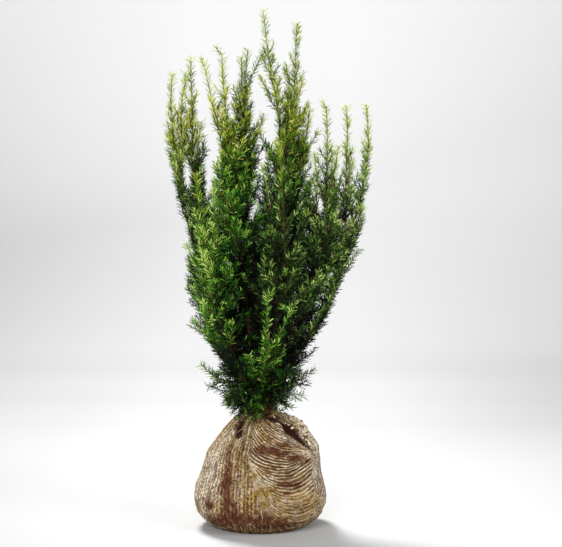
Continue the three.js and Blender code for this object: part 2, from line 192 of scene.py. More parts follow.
def tube_arrays(paths, radii, sides):
    """Closed tubes: paths (tubes, rings, 3) and radii (tubes, rings) or (tubes, rings, sides). The vertex at ring i
    and angle a is path + radius (cos a side + sin a other), and a point at each end closes the tube. Returns
    vertices, and faces as [quads, triangles]."""
    count, rings = paths.shape[:2]
    headings = unit(np.gradient(paths, axis=1))
    side, other = frames_across(headings)
    angle = round_angles(sides)
    radii = radii if radii.ndim == 3 else radii[..., None]
    out = np.cos(angle)[:, None] * side[:, :, None] + np.sin(angle)[:, None] * other[:, :, None]
    skin = paths[:, :, None] + radii[..., None] * out
    ends = np.stack([paths[:, 0], paths[:, -1] + headings[:, -1] * radii[:, -1].mean(axis=-1)[:, None]], axis=1)
    vertices = np.concatenate([skin.reshape(count, rings * sides, 3), ends], axis=1)
    quads, first = grid_faces(rings, sides)[:, [0, 3, 2, 1]], np.arange(sides)
    caps = np.concatenate([fan(rings * sides, first), fan(rings * sides + 1, first + (rings - 1) * sides, flip=True)])
    offset = np.arange(count)[:, None, None] * vertices.shape[1]
    faces = [(quads + offset).reshape(-1, 4), (caps + offset).reshape(-1, 3)]
    return vertices.reshape(-1, 3), faces


def grid_uv(u, v):
    """Corner UVs for grid_faces, from u and v given with one more column than the grid, and one more row where its
    rows wrap, so that a wrapped edge goes on instead of starting again."""
    both = np.stack([u, v], axis=-1)
    low_left, low_right = both[:-1, :-1], both[:-1, 1:]
    high_left, high_right = both[1:, :-1], both[1:, 1:]
    return np.stack([low_left, low_right, high_right, high_left], axis=-2).reshape(-1, 2)


def corner_uv(u, v, faces):
    """The UV of each corner of the faces in turn, from u and v given by vertex."""
    corners = np.concatenate([group.ravel() for group in faces])
    return np.stack([np.ravel(u), np.ravel(v)], axis=-1)[corners]


# ---------- the wrapped root ball ----------
BALL_HEIGHT = 238
# [radius, height] from the rim of the underside to the rim of the flat top
BALL_PROFILE = np.array([
    [92, 0], [110, 9], [128, 26], [136, 44], [138, 65], [135, 82], [129, 98], [119, 121], [110, 146], [99, 170],
    [79, 195], [59, 220], [48, 231], [40, 238],
], dtype=float)
PLEATS, PLEAT_DEPTH, SHOULDER_BULGE = 10, 4.5, 21
CLOTH_COLUMNS, CLOTH_ROWS = 400, 176
FRINGE_THREADS, LOOSE_FIBRES = 26, 240
FOLD_RADIUS, FOLD_YARNS, FOLD_LENGTH = 10, 9, 110
TRUNK_FOOT = np.array([-4.0, 0.0, 235.0])
COLLAR_BASE = BALL_HEIGHT + 0.3
# [radius, height] round the section of the collar
COLLAR_SECTION = [[20, 0], [27, 0], [34, 0], [36, 5], [33, 10], [28.5, 15], [24.5, 15.5], [21, 12], [20, 5]]
COLLAR_YARNS, COLLAR_GIRTH = 60, 60


def sacking_relief(angle, height):
    """How far the sacking stands out from the profile: pleats that fade down from the neck, a full right shoulder
    and the slow lumps of the soil, as in the part's source."""
    up = height / BALL_HEIGHT
    below_neck = 1 - smoothstep(up, 0.93, 1)
    pleats = PLEAT_DEPTH * smoothstep(up, 0.25, 0.8) * np.cos(PLEATS * angle + 2 * np.sin(angle))
    shoulder = SHOULDER_BULGE * smoothstep(up, 0.35, 0.85) * (0.5 + 0.5 * np.cos(angle + 0.3))
    lumps = 2.5 * np.sin(2 * angle + 1) * np.sin(math.pi * up)
    return ((pleats + shoulder) * below_neck + lumps) * smoothstep(height, 0, 8)


def over_ball(angle, height, lift=0.0):
    """The place over the sacking at an angle and a height: the profile's radius, its relief and a lift."""
    radius = np.interp(height, BALL_PROFILE[:, 1], BALL_PROFILE[:, 0]) + sacking_relief(angle, height) + lift
    return np.stack([radius * np.cos(angle), radius * np.sin(angle), height + 0 * angle], axis=-1)


def run_along(path):
    """The distance along a path at each of its places."""
    steps = np.linalg.norm(np.diff(path, axis=-2), axis=-1)
    return np.concatenate([np.zeros_like(steps[..., :1]), np.cumsum(steps, axis=-1)], axis=-1)


def through(points, count):
    """A Catmull-Rom curve through points, as count places."""
    points = np.asarray(points, dtype=float)
    padded = np.concatenate([2 * points[:1] - points[1:2], points, 2 * points[-1:] - points[-2:-1]])
    at = np.linspace(0, len(points) - 1 - 1e-9, count)
    i, t = at.astype(int), (at % 1)[:, None]
    a, b, c, d = (padded[i + k] for k in range(4))
    return 0.5 * (2 * b + (c - a) * t + (2 * a - 5 * b + 4 * c - d) * t ** 2 + (3 * b - 3 * c + d - a) * t ** 3)


FOLD_LINE = through([over_ball(np.array(a), h, lift) for a, h, lift in (
    (-0.3, 235, 6), (-0.36, 222, 6), (-0.34, 200, 5), (-0.3, 174, 4), (-0.24, 150, 1))], 90)
OPENING_LINE = through([over_ball(np.array(a), h) for a, h in (
    (-0.96, 236), (-0.76, 221), (-0.63, 200), (-0.5, 178), (-0.3, 158))], 60)
OPENING_WIDTH, SLIT_WIDTH, OPENING_SINK = 15, 10, 11  # half widths, and how far the cloth drops in both
SLIT_LINE = through([over_ball(np.array(a), h) for a, h in ((-2.42, 232), (-2.26, 218), (-2.14, 200))], 20)

# Where yarns are drawn together in a pinch they hang from it in swags: angle and height of the pinch, the way
# round that the swags run, their count below the pinch and how far they reach.
SWAGS = (
    dict(angle=math.radians(-101), height=161, way=1, below=20, reach=172),
    dict(angle=math.radians(42), height=158, way=1, below=9, reach=150),
    dict(angle=math.radians(152), height=170, way=-1, below=8, reach=105),
)
YARN_PITCH = 8.2  # between neighbouring yarns
UPRIGHT_YARNS = 92
YARN_RADIUS, YARN_SINK, THINNEST_YARN = 1.5, 0.1, 0.05
SWAG_RADIUS = 132  # turns a distance along a swag into an angle
SWAG_FAN = 50  # the distance over which the swags fan out from their pinch to one pitch apart
SWAG_FADE = (4, 11)  # the yarns below the pinch between which the swags give way to plain cloth
KNOT = (math.radians(-105), 151)  # angle and height of the lump beside the front pinch
WEFT_PITCH = 5  # between the cross yarns


def middle_drop(distance):
    """The swag through the pinch itself: 0.5 d - 0.0033 d^2 + 9 (1 - exp(-d / 9)), so it sets out steeply down the
    pleat, hangs and comes up again."""
    return 0.5 * distance - 0.0033 * distance ** 2 + 9 * (1 - np.exp(-distance / 9))


def swag_pitches(distance):
    """The pitch of the swags at a distance along them, below and above the middle one. Those below it spread to
    one yarn pitch apart, and those above it start higher on the pleat and run steeper and closer."""
    steep = 60 * (1 - np.exp(-distance / 45))
    return YARN_PITCH * (1 - np.exp(-distance / SWAG_FAN)), YARN_PITCH - (steep - middle_drop(distance)) / 8


def swag_drop(distance, yarn):
    """How far a swag has dropped below its pinch: the middle one's drop and its yarn number times the pitch."""
    below, above = swag_pitches(distance)
    return middle_drop(distance) + yarn * np.where(yarn > 0, below, above)


def swag_yarn(distance, drop):
    """Which swag passes through a place: swag_drop solved for the yarn."""
    over = drop - middle_drop(distance)
    below, above = swag_pitches(np.maximum(distance, 1))[0], np.maximum(swag_pitches(distance)[1], 2)
    return over / np.where(over > 0, below, above)


def swag_place(swag, angle, height):
    """Distance along a swag, its yarn number and its share, from 0 to 1, of the sacking at a place."""
    distance = wrapped(swag["way"] * (angle - swag["angle"])) * SWAG_RADIUS
    yarn = swag_yarn(np.maximum(distance, 0.5), swag["height"] - height)
    share = (smoothstep(distance, 0, 5) * smoothstep(-distance, -swag["reach"], 18 - swag["reach"])
             * smoothstep(-yarn, -swag["below"] - 2, -swag["below"]))
    return distance, yarn, share


def opening_depth(places):
    """How deep in an opening a place lies: 1 on the line of the torn opening or of the slit, 0 outside them."""
    flat = places.reshape(-1, 3)
    ragged = 1 + np.clip(0.1 * waves([flat[:, 0] / 16, flat[:, 2] / 16], 5), -0.3, 0.25)
    ragged = ragged * (0.6 + 0.65 * smoothstep(flat[:, 2], 160, 232))
    depth = 0
    for line, wide in ((OPENING_LINE, OPENING_WIDTH), (SLIT_LINE, SLIT_WIDTH)):
        distance = np.min(np.linalg.norm(flat[:, None] - line[None, ::3], axis=-1), axis=1)
        depth = depth + 1 - smoothstep(distance / (wide * ragged), 0.5, 1.1)
    return np.clip(depth, 0, 1).reshape(places.shape[:-1])


def cloth_height(angle, height):
    """The finer relief of the cloth in mm: small gathers towards the neck, the ridge of each yarn, the knots of
    the pinches with a crease above them, and slack."""
    up = height / BALL_HEIGHT
    gathers = 1.5 * smoothstep(up, 0.55, 0.9) * np.cos(31 * angle + 2.5 * np.sin(3 * angle))
    slack = 0.8 * waves([angle * 3 / math.tau, height / 70], 11) * smoothstep(up, 0, 0.15)
    total = gathers * (1 - smoothstep(up, 0.97, 1)) + slack
    for swag in SWAGS:
        distance, _, _ = swag_place(swag, angle, height)
        below = swag["height"] - height
        total = total + 6 * np.exp(-(distance ** 2 + below ** 2) / 90)
        total = total - 4 * np.exp(-(distance / 4.5) ** 2) * smoothstep(-below, 4, 16) * (1 - smoothstep(up, 0.9, 1))
    lump = (wrapped(angle - KNOT[0]) * 105) ** 2 + (height - KNOT[1]) ** 2
    return total + 5 * np.exp(-lump / 110)


def yarn_sway(angle, height):
    """How many yarns the upright ones stray sideways at a place."""
    return 0.5 * waves([angle, height / 260], 21, lowest=0.3, highest=1)


def yarn_phase(angle, height):
    """The yarn number across the cloth: upright yarns by angle, and swags where they lie over them."""
    phase = UPRIGHT_YARNS * angle / math.tau + yarn_sway(angle, height)
    for swag in SWAGS:
        _, yarn, share = swag_place(swag, angle, height)
        phase = np.where(share > 0.5, yarn, phase)
    return phase


# Marks on the sacking: angle in degrees, height, half width in degrees, half height and strength of each.
STAINS = (
    (-90, 176, 6, 9, 1.2), (-78, 176, 8, 7, 1.1), (-66, 167, 9, 9, 1.1), (-52, 157, 9, 8, 0.9), (-40, 148, 7, 8, 0.8),
    (-62, 185, 8, 5, 0.9), (-66, 107, 7, 6, 1.2), (-54, 101, 6, 6, 1.2), (-67, 89, 8, 4, 0.8), (-76, 138, 9, 8, 0.5),
    (-129, 172, 4, 12, 0.9), (-124, 140, 3.5, 26, 0.7), (-123, 108, 6, 24, 1.2), (-118, 68, 4, 24, 1.1),
    (-112, 62, 2.5, 14, 0.9), (-138, 60, 5, 10, 1.5), (-111, 38, 12, 15, 1.2), (-88, 36, 10, 13, 1.0),
    (-132, 26, 14, 12, 0.9), (-70, 26, 14, 12, 0.9), (-110, 174, 2, 14, 1.0), (-82, 234, 9, 5, 0.8),
    (-107, 229, 8, 7, 1.2), (-20, 90, 10, 26, 0.3), (35, 120, 14, 24, 0.6), (80, 90, 10, 34, 0.65),
    (120, 140, 12, 20, 0.6), (155, 70, 9, 26, 0.6), (-165, 130, 8, 22, 0.3), (-84, 50, 34, 26, 0.26),
    (-62, 128, 20, 34, 0.2),
)
GOLDEN = (
    (-120, 128, 3, 16, 1.2), (-86, 84, 17, 34, 0.9), (-35, 62, 13, 18, 1.0), (-128, 38, 13, 13, 0.8),
    (-104, 150, 7, 8, 1.0), (-95, 130, 8, 12, 0.6), (-18, 170, 7, 16, 0.9), (-145, 190, 10, 10, 0.6),
    (60, 60, 20, 30, 0.7), (130, 60, 20, 40, 0.7),
)
# Pale patches and streaks; the broad marks along the ball's left and right edges and over its upper front are painted
# highlights.
PALE_AND_HIGHLIGHT_MARKS = (
    (-155, 110, 19, 74, 1.7), (-14, 125, 18, 64, 1.7), (-53, 211, 14, 12, 1.2), (-42, 190, 12, 11, 1.1),
    (-64, 200, 10, 9, 0.6), (-108, 215, 7, 14, 0.5), (-133, 210, 7, 14, 0.6), (-140, 120, 4, 50, 0.6),
    (-110, 100, 3, 40, 0.5), (-100, 176, 3, 26, 0.6), (100, 180, 16, 30, 0.6), (20, 70, 10, 40, 0.5),
)


def marked(places, marks):
    """How strongly marks show at places: a sum of soft ellipses over angle and height, broken by noise."""
    x, y, z = places[..., 0], places[..., 1], places[..., 2]
    angle = np.degrees(np.arctan2(y, x))
    total = 0
    for middle, height, wide, tall, strength in marks:
        turn = wrapped(angle - middle, 360)
        total = total + strength * np.exp(-(turn / wide) ** 2 - ((z - height) / tall) ** 2)
    noise = 0.5 + 0.5 * waves([x / 46, y / 46, z / 46], 31)
    return total * (0.6 + 0.7 * noise)


def jute_material(name, gap_shade_depth, paleness):
    """Woven jute, dry and loosely spun: matt straw-coloured fibre, reddish brown where soil has soaked in, with
    painted shade in the gaps between the yarns. UV x counts yarns and y runs along them in mm."""
    material, tree, shader = new_material(name, 0.95, Specular_IOR_Level=0.1)
    uv = add_node(tree, "UVMap", uv_map="UVMap")
    across = add_node(tree, "SeparateXYZ", {"Vector": uv})
    along = across.node.outputs["Y"]
    place = add_node(tree, "TexCoord", output="Object")
    stain, gold, bleach_and_highlight, opening, ridge = (
        add_node(tree, "Attribute", output="Fac", attribute_name=attribute)
        for attribute in ("stain", "gold", "bleach_and_highlight", "opening", "ridge"))
    # one tone for each yarn
    yarn = add_node(tree, "Math", {0: across}, operation="ROUND")
    tone = add_node(tree, "TexWhiteNoise", {"W": yarn}, noise_dimensions="1D")
    # streaks and clumps of fibre along the yarns, a mottle 30 mm wide, the open weave's grain, drawn at 4 mm so that
    # it shows, and the fuzz of the fibres
    stretched, clumped = (add_node(tree, "Mapping", {"Vector": uv, "Scale": scale})
                          for scale in ((1.9, 0.07, 1), (1.7, 0.2, 1)))
    streak, clumps, mottle, grain, fuzz = (
        add_node(tree, "TexNoise", {"Vector": on, "Scale": scale, "Detail": detail, "Roughness": rough})
        for on, scale, detail, rough in (
            (stretched, 1.0, 5.0, 0.7), (clumped, 1.0, 3.0, 0.6), (place, 34.0, 4.0, 0.6), (place, 250.0, 2.0, 0.6),
            (place, 420.0, 3.0, 0.7)))
    # the crowns of the yarns, and of the cross yarns, whose own 3 mm is drawn coarser so that they show
    crown, weft = (
        add_node(tree, "Math", {0: add_node(tree, "Math", {0: source, 1: math.tau / pitch},
                                                      operation="MULTIPLY")}, operation="COSINE")
        for source, pitch in ((across, 1), (along, WEFT_PITCH)))
    # painted shade: how far into the gap between two yarns, 0 on a yarn's crown; the gap is painted dark brown as the
    # shade between the yarns, as strongly as the ridge attribute says
    between = add_node(tree, "MapRange", {
        "Value": crown, "From Min": 0.6, "From Max": -0.3, "To Min": 0.0, "To Max": gap_shade_depth})
    gap = add_node(tree, "Math", {0: between, 1: ridge}, operation="MULTIPLY")
    straw, olive, golden, pale, tint, speck, weave, soil = (
        add_node(tree, "ValToRGB", {"Fac": source}, stops=stops) for source, stops in (
            (streak, [(0.28, "#7c5c3a"), (0.42, "#bc9c6a"), (0.56, "#ead7aa"), (0.7, "#fffbe6")]),
            (mottle, [(0.3, "#8d7434"), (0.5, "#cdb670"), (0.7, "#f4eabc")]),
            (streak, [(0.3, "#80622c"), (0.5, "#c0a258"), (0.7, "#e8d896")]),
            (streak, [(0.3, "#cabca6"), (0.5, "#fff9ee")]),
            (tone, [(0.0, "#9a8a78"), (0.4, "#e4dccf"), (1.0, "#ffffff")]),
            (clumps, [(0.38, "#4e3828"), (0.48, "#cabca8"), (0.57, "#ffffff")]),
            (grain, [(0.36, "#8a775c"), (0.46, "#e0d8c6"), (0.54, "#ffffff")]),
            (streak, [(0.34, "#220b05"), (0.5, "#4f2817"), (0.64, "#8c5f47"), (0.76, "#c09c82")])))
    # painted shade: the gap layer paints the gaps between the yarns dark; the opening layer paints the openings a
    # near-black brown, and the deep creases of the fold roll as painted shade
    colour = layered(tree, straw, (0.4, olive), (gold, golden), (bleach_and_highlight, pale), (0.75, tint, "MULTIPLY"),
                     (0.85, speck, "MULTIPLY"), (paleness, "#fff6e2"), (0.75, weave, "MULTIPLY"), (stain, soil),
                     (gap, "#3d1e10"), (opening, "#32170d"))
    tree.links.new(colour, shader.inputs["Base Color"])
    # the relief: twist of the spun yarn every 4 mm along it, fuzz, cross yarns and the yarns' round crowns
    twist = add_node(tree, "TexWave", {"Vector": uv, "Scale": 1.0, "Distortion": 1.2, "Detail": 2.0},
                     "Fac", wave_type="BANDS", bands_direction="DIAGONAL")
    rough = add_node(tree, "Math", {0: fuzz, 1: twist}, operation="ADD")
    rough = add_node(tree, "Math", {0: weft, 1: 0.3, 2: rough}, operation="MULTIPLY_ADD")
    rounded = add_node(tree, "Math", {0: crown, 1: rough, 2: 1.5 * gap_shade_depth + 0.01},
                       operation="MULTIPLY_ADD")
    bump = add_node(tree, "Bump", {"Height": rounded, "Strength": 0.55, "Distance": 0.0012})
    tree.links.new(bump, shader.inputs["Normal"])
    return material


CLOTH = jute_material("woven_jute_cloth", 0.9, 0.0)
YARN = jute_material("spun_jute_yarn", 0.0, 0.42)


def gap_shade_amount(angle, height):
    """How strongly the gaps between the yarns are painted in shade at a place, so that the yarns stand apart: well in
    the swags, less where they end, and unevenly.
    """
    uneven = 0.5 + 0.5 * waves([angle * 1.6, height / 75], 97)
    total = 0.25 + 0.45 * np.clip(uneven, 0, 1)
    for swag in SWAGS:
        _, yarn, share = swag_place(swag, angle, height)
        inside = share * (0.7 + 0.3 * np.clip(uneven, 0, 1)) * (1 - 0.6 * smoothstep(yarn, *SWAG_FADE))
        total = total + (inside - total) * smoothstep(share, 0.4, 0.8)
    return total


def soil_marks(places):
    """The attributes of the jute: stains, a darker brown towards the foot, golden patches, pale patches with painted
    highlights along the ball's edges, the openings, and the ridge that sets the painted shade between the yarns.
    """
    x, y, z = places[..., 0], places[..., 1], places[..., 2]
    patchy = 0.5 * smoothstep(waves([x / 75, y / 75, z / 75], 41), 0.1, 1.1)
    # darker brown towards the foot, laid in with the stains
    foot = (1 - smoothstep(z, 3, 44)) * (0.5 + 0.45 * waves([x / 24, y / 24, z / 16], 43))
    return {"stain": np.clip(1.15 * marked(places, STAINS) + foot, 0, 0.95),
            "gold": np.clip(marked(places, GOLDEN), 0, 0.7),
            "bleach_and_highlight": np.clip(marked(places, PALE_AND_HIGHLIGHT_MARKS) + patchy, 0, 0.9),
            "opening": opening_depth(places), "ridge": gap_shade_amount(np.arctan2(y, x), z)}


def sacking_cloth():
    """The cloth round the ball: angle and a run up the profile as the two parameters, the place over_ball there,
    moved out along its normal by cloth_height and in by the openings. The underside and top are closed discs."""
    columns, rows = CLOTH_COLUMNS, CLOTH_ROWS
    dense = through(BALL_PROFILE, 900)
    run = run_along(dense)
    heights = np.interp(np.linspace(0, run[-1], rows), run, np.clip(dense[:, 1], 0, BALL_HEIGHT))
    angles, levels = np.meshgrid(round_angles(columns, closed=True), heights)
    base = over_ball(angles, levels)
    # a grid closed in angle has the same slope at its first and last column
    around = np.gradient(np.concatenate([base[:, -3:-1], base, base[:, 1:3]], axis=1), axis=1)[:, 2:-2]
    normal = unit(np.cross(around, np.gradient(base, axis=0)))
    depth = opening_depth(base)
    lift = cloth_height(angles, levels) * smoothstep(levels, 0, 10) - OPENING_SINK * depth
    skin = base + normal * lift[..., None]
    skin[..., 2] = np.clip(skin[..., 2], 0, None)
    skin = skin[:, :-1]
    ends = np.array([[0, 0, 0], [TRUNK_FOOT[0], TRUNK_FOOT[1], BALL_HEIGHT]])
    vertices = np.concatenate([skin.reshape(-1, 3), ends])
    quads, foot = grid_faces(rows, columns), np.arange(columns)
    caps = np.concatenate([fan(rows * columns, foot, flip=True),
                           fan(rows * columns + 1, foot + (rows - 1) * columns)])
    u, v = yarn_phase(angles, levels), np.repeat(np.linspace(0, run[-1], rows)[:, None], columns + 1, axis=1)
    uv = np.concatenate([grid_uv(u, v), np.zeros((len(caps) * 3, 2))])
    marks = soil_marks(vertices)
    marks["opening"] = np.append(depth[:, :-1].ravel(), [0, 0])
    return mesh_object("sacking_cloth", vertices, [quads, caps], [CLOTH], uv=uv, attributes=marks)


def sacking_yarns():
    """Every swag at a whole yarn number, and the upright yarns between the swags, as tubes over the cloth that come
    and go as they dip into the weave. A yarn under another kind, or in an opening, is thinned to nothing there."""
    rings, sides = 64, 6
    t = np.linspace(0, 1, rings)[None]
    parts = []
    for index, swag in enumerate(SWAGS):
        numbers = np.arange(-8, swag["below"] + 1)[:, None].astype(float)
        distance = 1.5 + t * (swag["reach"] - 6) + 0 * numbers
        height = swag["height"] - swag_drop(distance, numbers)
        height = height + 0.9 * waves([distance / 60, numbers * 0.37], 50 + index)
        angle = swag["angle"] + swag["way"] * distance / SWAG_RADIUS
        fade = smoothstep(t, 0, 0.06) * smoothstep(-t, -1, -0.9) * smoothstep(-height, -237, -230)
        comes = 0.45 + 0.55 * smoothstep(waves([distance / 70, numbers * 0.61], 60 + index), -0.9, 0.5)
        parts.append((angle, height, fade * comes * (1 - 0.7 * smoothstep(numbers, *SWAG_FADE))))
    numbers = np.arange(UPRIGHT_YARNS)[:, None].astype(float)
    height = 6 + t * (BALL_HEIGHT - 8) + 0 * numbers
    angle = math.tau * numbers / UPRIGHT_YARNS + 0 * t
    angle = angle - math.tau / UPRIGHT_YARNS * yarn_sway(angle, height)
    comes = 0.75 * smoothstep(waves([height / 90, numbers * 0.53], 71), -0.2, 1.2)
    for swag in SWAGS:
        comes = comes * (1 - swag_place(swag, angle, height)[2])
    parts.append((angle, height, comes * smoothstep(-t, -1, -0.93)))
    angle, height, visible = (np.concatenate([part[k] for part in parts]) for k in range(3))
    crowded = np.interp(height, [140, 215, 238], [1, 0.7, 0.4])
    level = np.clip(height, 1.5, BALL_HEIGHT - 1)
    places = over_ball(angle, level, cloth_height(angle, level) - YARN_SINK)
    radii = YARN_RADIUS * np.clip(visible, 0, 1) * crowded * (1 - 0.95 * opening_depth(places))
    vertices, faces = tube_arrays(places, np.maximum(radii, THINNEST_YARN), sides)
    along = run_along(places)
    number = np.arange(len(places))[:, None]
    u = np.concatenate([np.repeat(number + 0 * along, sides, axis=1), number, number], axis=1)
    v = np.concatenate([np.repeat(along, sides, axis=1), along[:, :1], along[:, -1:]], axis=1)
    return mesh_object("sacking_yarns", vertices, faces, [YARN], uv=corner_uv(u, v, faces),
                       attributes=soil_marks(vertices))


def sacking_fold():
    """The roll beside the torn opening: a tube along the fold's line, thickest in its middle, with creases that
    wind round it and lumps."""
    rings, sides = len(FOLD_LINE), 40
    t = np.linspace(0, 1, rings)[:, None]
    angle = round_angles(sides)
    thick = FOLD_RADIUS * (0.55 + 0.45 * np.sin(math.pi * t))
    creases = 0.15 * np.cos(5 * angle + 9 * t) + 0.1 * np.cos(3 * angle - 16 * t)
    lumps = 0.15 * waves([t * 5 + 0 * angle, np.cos(angle) * 0.7, np.sin(angle) * 0.7], 81)
    radii = thick * (0.9 + creases + lumps)
    vertices, faces = tube_arrays(FOLD_LINE[None], radii[None], sides)
    u = np.append(np.tile(np.arange(sides) / sides * FOLD_YARNS, rings), [0, 0])
    v = np.append(np.repeat(t.ravel() * FOLD_LENGTH, sides), [0, FOLD_LENGTH])
    uv = corner_uv(u, v, faces)
    # the last corner of each turn goes on to the next yarn instead of falling back to the first
    quads = uv[:4 * len(faces[0])].reshape(-1, 4, 2)
    wraps = np.ptp(quads[..., 0], axis=1) > FOLD_YARNS / 2
    quads[wraps, :, 0] += np.where(quads[wraps, :, 0] < FOLD_YARNS / 2, FOLD_YARNS, 0)
    marks = soil_marks(vertices)
    # painted shade: deep creases are painted dark brown through the opening attribute, as the opening beside the roll
    # is
    marks["opening"] = np.append(np.clip(-3.2 * (creases + 0.5 * lumps).ravel() - 0.25, 0, 0.8), [0, 0])
    marks["stain"] = 0.3 * marks["stain"]
    marks["bleach_and_highlight"] = np.clip(marks["bleach_and_highlight"] + 0.6, 0, 1)
    marks["ridge"] = np.full(len(vertices), 0.3)
    return mesh_object("sacking_fold_roll", vertices, faces, [CLOTH], uv=uv, attributes=marks)


def sacking_collar():
    """The gathered neck: a ring of small folds round the trunk's foot. Its section turns through a full round as
    one parameter and the angle about the trunk is the other. The folds deepen towards its ragged upper edge."""
    columns = 240
    section = through(COLLAR_SECTION, 40)[:-1]
    rows = len(section)
    angle = round_angles(columns, closed=True)
    radius, height = section[:, :1], section[:, 1:]
    upper = smoothstep(height, 2, 14)
    folds = 1.4 * np.cos(PLEATS * angle) + (1.6 * upper) * np.cos(23 * angle + 1.5 * np.sin(2 * angle))
    outward = smoothstep(radius, 22, 31)
    ragged = upper * (1.5 * waves([angle * 1.3, 0 * angle], 91) + 1.0 * np.cos(23 * angle + 1))
    across = radius + folds * outward
    skin = np.stack([TRUNK_FOOT[0] + across * np.cos(angle), TRUNK_FOOT[1] + across * np.sin(angle),
                     COLLAR_BASE + np.clip(height + ragged, 0, None) + 0 * angle], axis=-1)
    vertices = skin[:, :-1].reshape(-1, 3)
    uv = grid_uv(*np.meshgrid(COLLAR_YARNS * angle / math.tau, np.linspace(0, COLLAR_GIRTH, rows + 1)))
    marks = soil_marks(vertices)
    marks["opening"] = np.zeros(len(vertices))
    # the whole gather is a darker brown, laid in with the stains
    marks["stain"] = np.clip(marks["stain"] + 0.6, 0, 1)
    quads = grid_faces(rows, columns, wrap_rows=True)
    return mesh_object("sacking_collar_gather", vertices, [quads], [CLOTH], uv=uv, attributes=marks)


def opening_fringe():
    """Torn cloth along the opening: short thick threads that reach from the roll's side over part of the dark gap,
    each a bent tube with a knotted end."""
    rng = np.random.default_rng(9)
    count, rings, one_each = FRINGE_THREADS, 7, (FRINGE_THREADS, 1, 1)
    t = np.linspace(0, 1, rings)[None, :, None]
    at = np.sort(rng.uniform(2, 52, count)).astype(int)
    line = OPENING_LINE[at]
    outward = unit(line * [1, 1, 0.6])
    along = unit(OPENING_LINE[at + 1] - line)
    across = unit(np.cross(along, outward))
    to_roll = across * np.sign(np.sum(across * [1, 0.4, 0.3], axis=-1, keepdims=True))
    root = line + 12.5 * to_roll - 1.5 * outward
    reach, lean, lift = rng.uniform(4, 13, one_each), rng.normal(0, 0.5, one_each), rng.uniform(-0.5, 1.5, one_each)
    path = (root[:, None] + reach * t * (lean * along[:, None] - to_roll[:, None])
            + (3.5 * np.sin(2.6 * t) + lift) * outward[:, None])
    thick = rng.uniform(1.2, 2.6, (count, 1)) * (0.8 + 0.5 * t[..., 0] ** 3)
    vertices, faces = tube_arrays(path, thick, 8)
    kinds = np.concatenate([np.repeat((rng.random(count) < 0.3).astype(int), len(group) // count)
                            for group in faces])
    return mesh_object("opening_fringe", vertices, faces, [FIBRE, BROWN_FIBRE], kinds=kinds)


def loose_fibres():
    """Stray jute fibres: each leaves the cloth, lifts by a few mm and bends back, as a thin tube along a bent
    line."""
    rng = np.random.default_rng(7)
    count, rings = LOOSE_FIBRES, 6
    t = np.linspace(0, 1, rings)[None, :, None]
    angle, height = rng.uniform(-math.pi, math.pi, count), rng.uniform(8, 228, count)
    root = over_ball(angle, height, -0.6)
    out = np.stack([np.cos(angle), np.sin(angle), 0.35 + 0 * angle], axis=-1)
    run = unit(np.cross(out, rng.normal(0, 1, out.shape)))
    length, lift = rng.uniform(6, 17, (count, 1, 1)), rng.uniform(0.12, 0.3, (count, 1, 1))
    bend = unit(rng.normal(0, 1, out.shape))[:, None]
    paths = root[:, None] + length * (t * run[:, None] + lift * np.sin(2.4 * t) * out[:, None]
                                      + 0.18 * t ** 2 * bend)
    paths[..., 2] = np.maximum(paths[..., 2], 0.6)
    vertices, faces = tube_arrays(paths, rng.uniform(0.3, 0.5, (count, 1)) * (1 - 0.4 * t[..., 0]), 3)
    return mesh_object("loose_fibres", vertices, faces, [FIBRE])


def plain_fibre(name, colour):
    """Loose jute fibre: matt and dry, one colour with a faint mottle that breaks it up."""
    material, tree, shader = new_material(name, 0.95, Specular_IOR_Level=0.15)
    place = add_node(tree, "TexCoord", output="Object")
    mottle = add_node(tree, "TexNoise", {"Vector": place, "Scale": 90.0, "Detail": 2.0})
    shade = add_node(tree, "ValToRGB", {"Fac": mottle}, stops=[(0.3, "#8c8c8c"), (0.7, "#ffffff")])
    tree.links.new(layered(tree, colour, (1.0, shade, "MULTIPLY")), shader.inputs["Base Color"])
    return material


FIBRE = plain_fibre("loose_jute_fibre", "#e0d2b4")
BROWN_FIBRE = plain_fibre("soiled_jute_fibre", "#6a4030")

dress(sacking_cloth(), "sacking", "root_ball")
dress(sacking_yarns(), "sacking", "root_ball")
dress(loose_fibres(), "sacking", "root_ball")
dress(opening_fringe(), "sacking", "root_ball")
dress(sacking_fold(), "loose_sacking", "sacking_fold")
dress(sacking_collar(), "loose_sacking", "sacking_collar")


# ---------- trunk and boughs ----------
TRUNK_RADIUS, TRUNK_TIP_RADIUS, TRUNK_FLARE, TRUNK_FLARE_SHARE = 12, 6, 6, 0.12
TRUNK = np.array([TRUNK_FOOT, [-14, 4, 400], [4, 0, 556]], dtype=float)
BOUGH_TAPER = 0.62
# Each bough leaves the trunk at a share of its length: that share, its end and its foot's radius.
BOUGHS = {
    "left_front": (0.12, (-46, -38, 340), 8), "left_outer": (0.22, (-84, 8, 435), 9),
    "left_back": (0.15, (-58, 48, 355), 7), "centre_left_front": (0.42, (-34, -20, 500), 7),
    "centre_left": (0.62, (-28, 20, 535), 6), "centre_front": (0.2, (18, -44, 352), 7),
    "top_centre": (0.7, (36, -6, 585), 5.5), "top_right": (0.36, (44, 24, 460), 8),
    "right_inner": (0.28, (72, -28, 425), 7.5), "right_outer": (0.14, (82, 6, 368), 8.5),
    "right_back": (0.19, (64, 46, 372), 7), "back_left": (0.32, (-28, 50, 430), 6.5),
    "back_right": (0.46, (14, 62, 455), 6.5), "back_low": (0.12, (2, 60, 350), 6.5),
}


def narrowed(points, t, count):
    """Each pair of neighbours gives way to the place at t between them, until count places are left."""
    while len(points) > count:
        points = [a + (b - a) * t for a, b in zip(points, points[1:])]
    return points


def bezier(curve, t):
    """The place at t on a curve of three or four control points."""
    return narrowed(list(curve), np.asarray(t, dtype=float)[..., None], 1)[0]


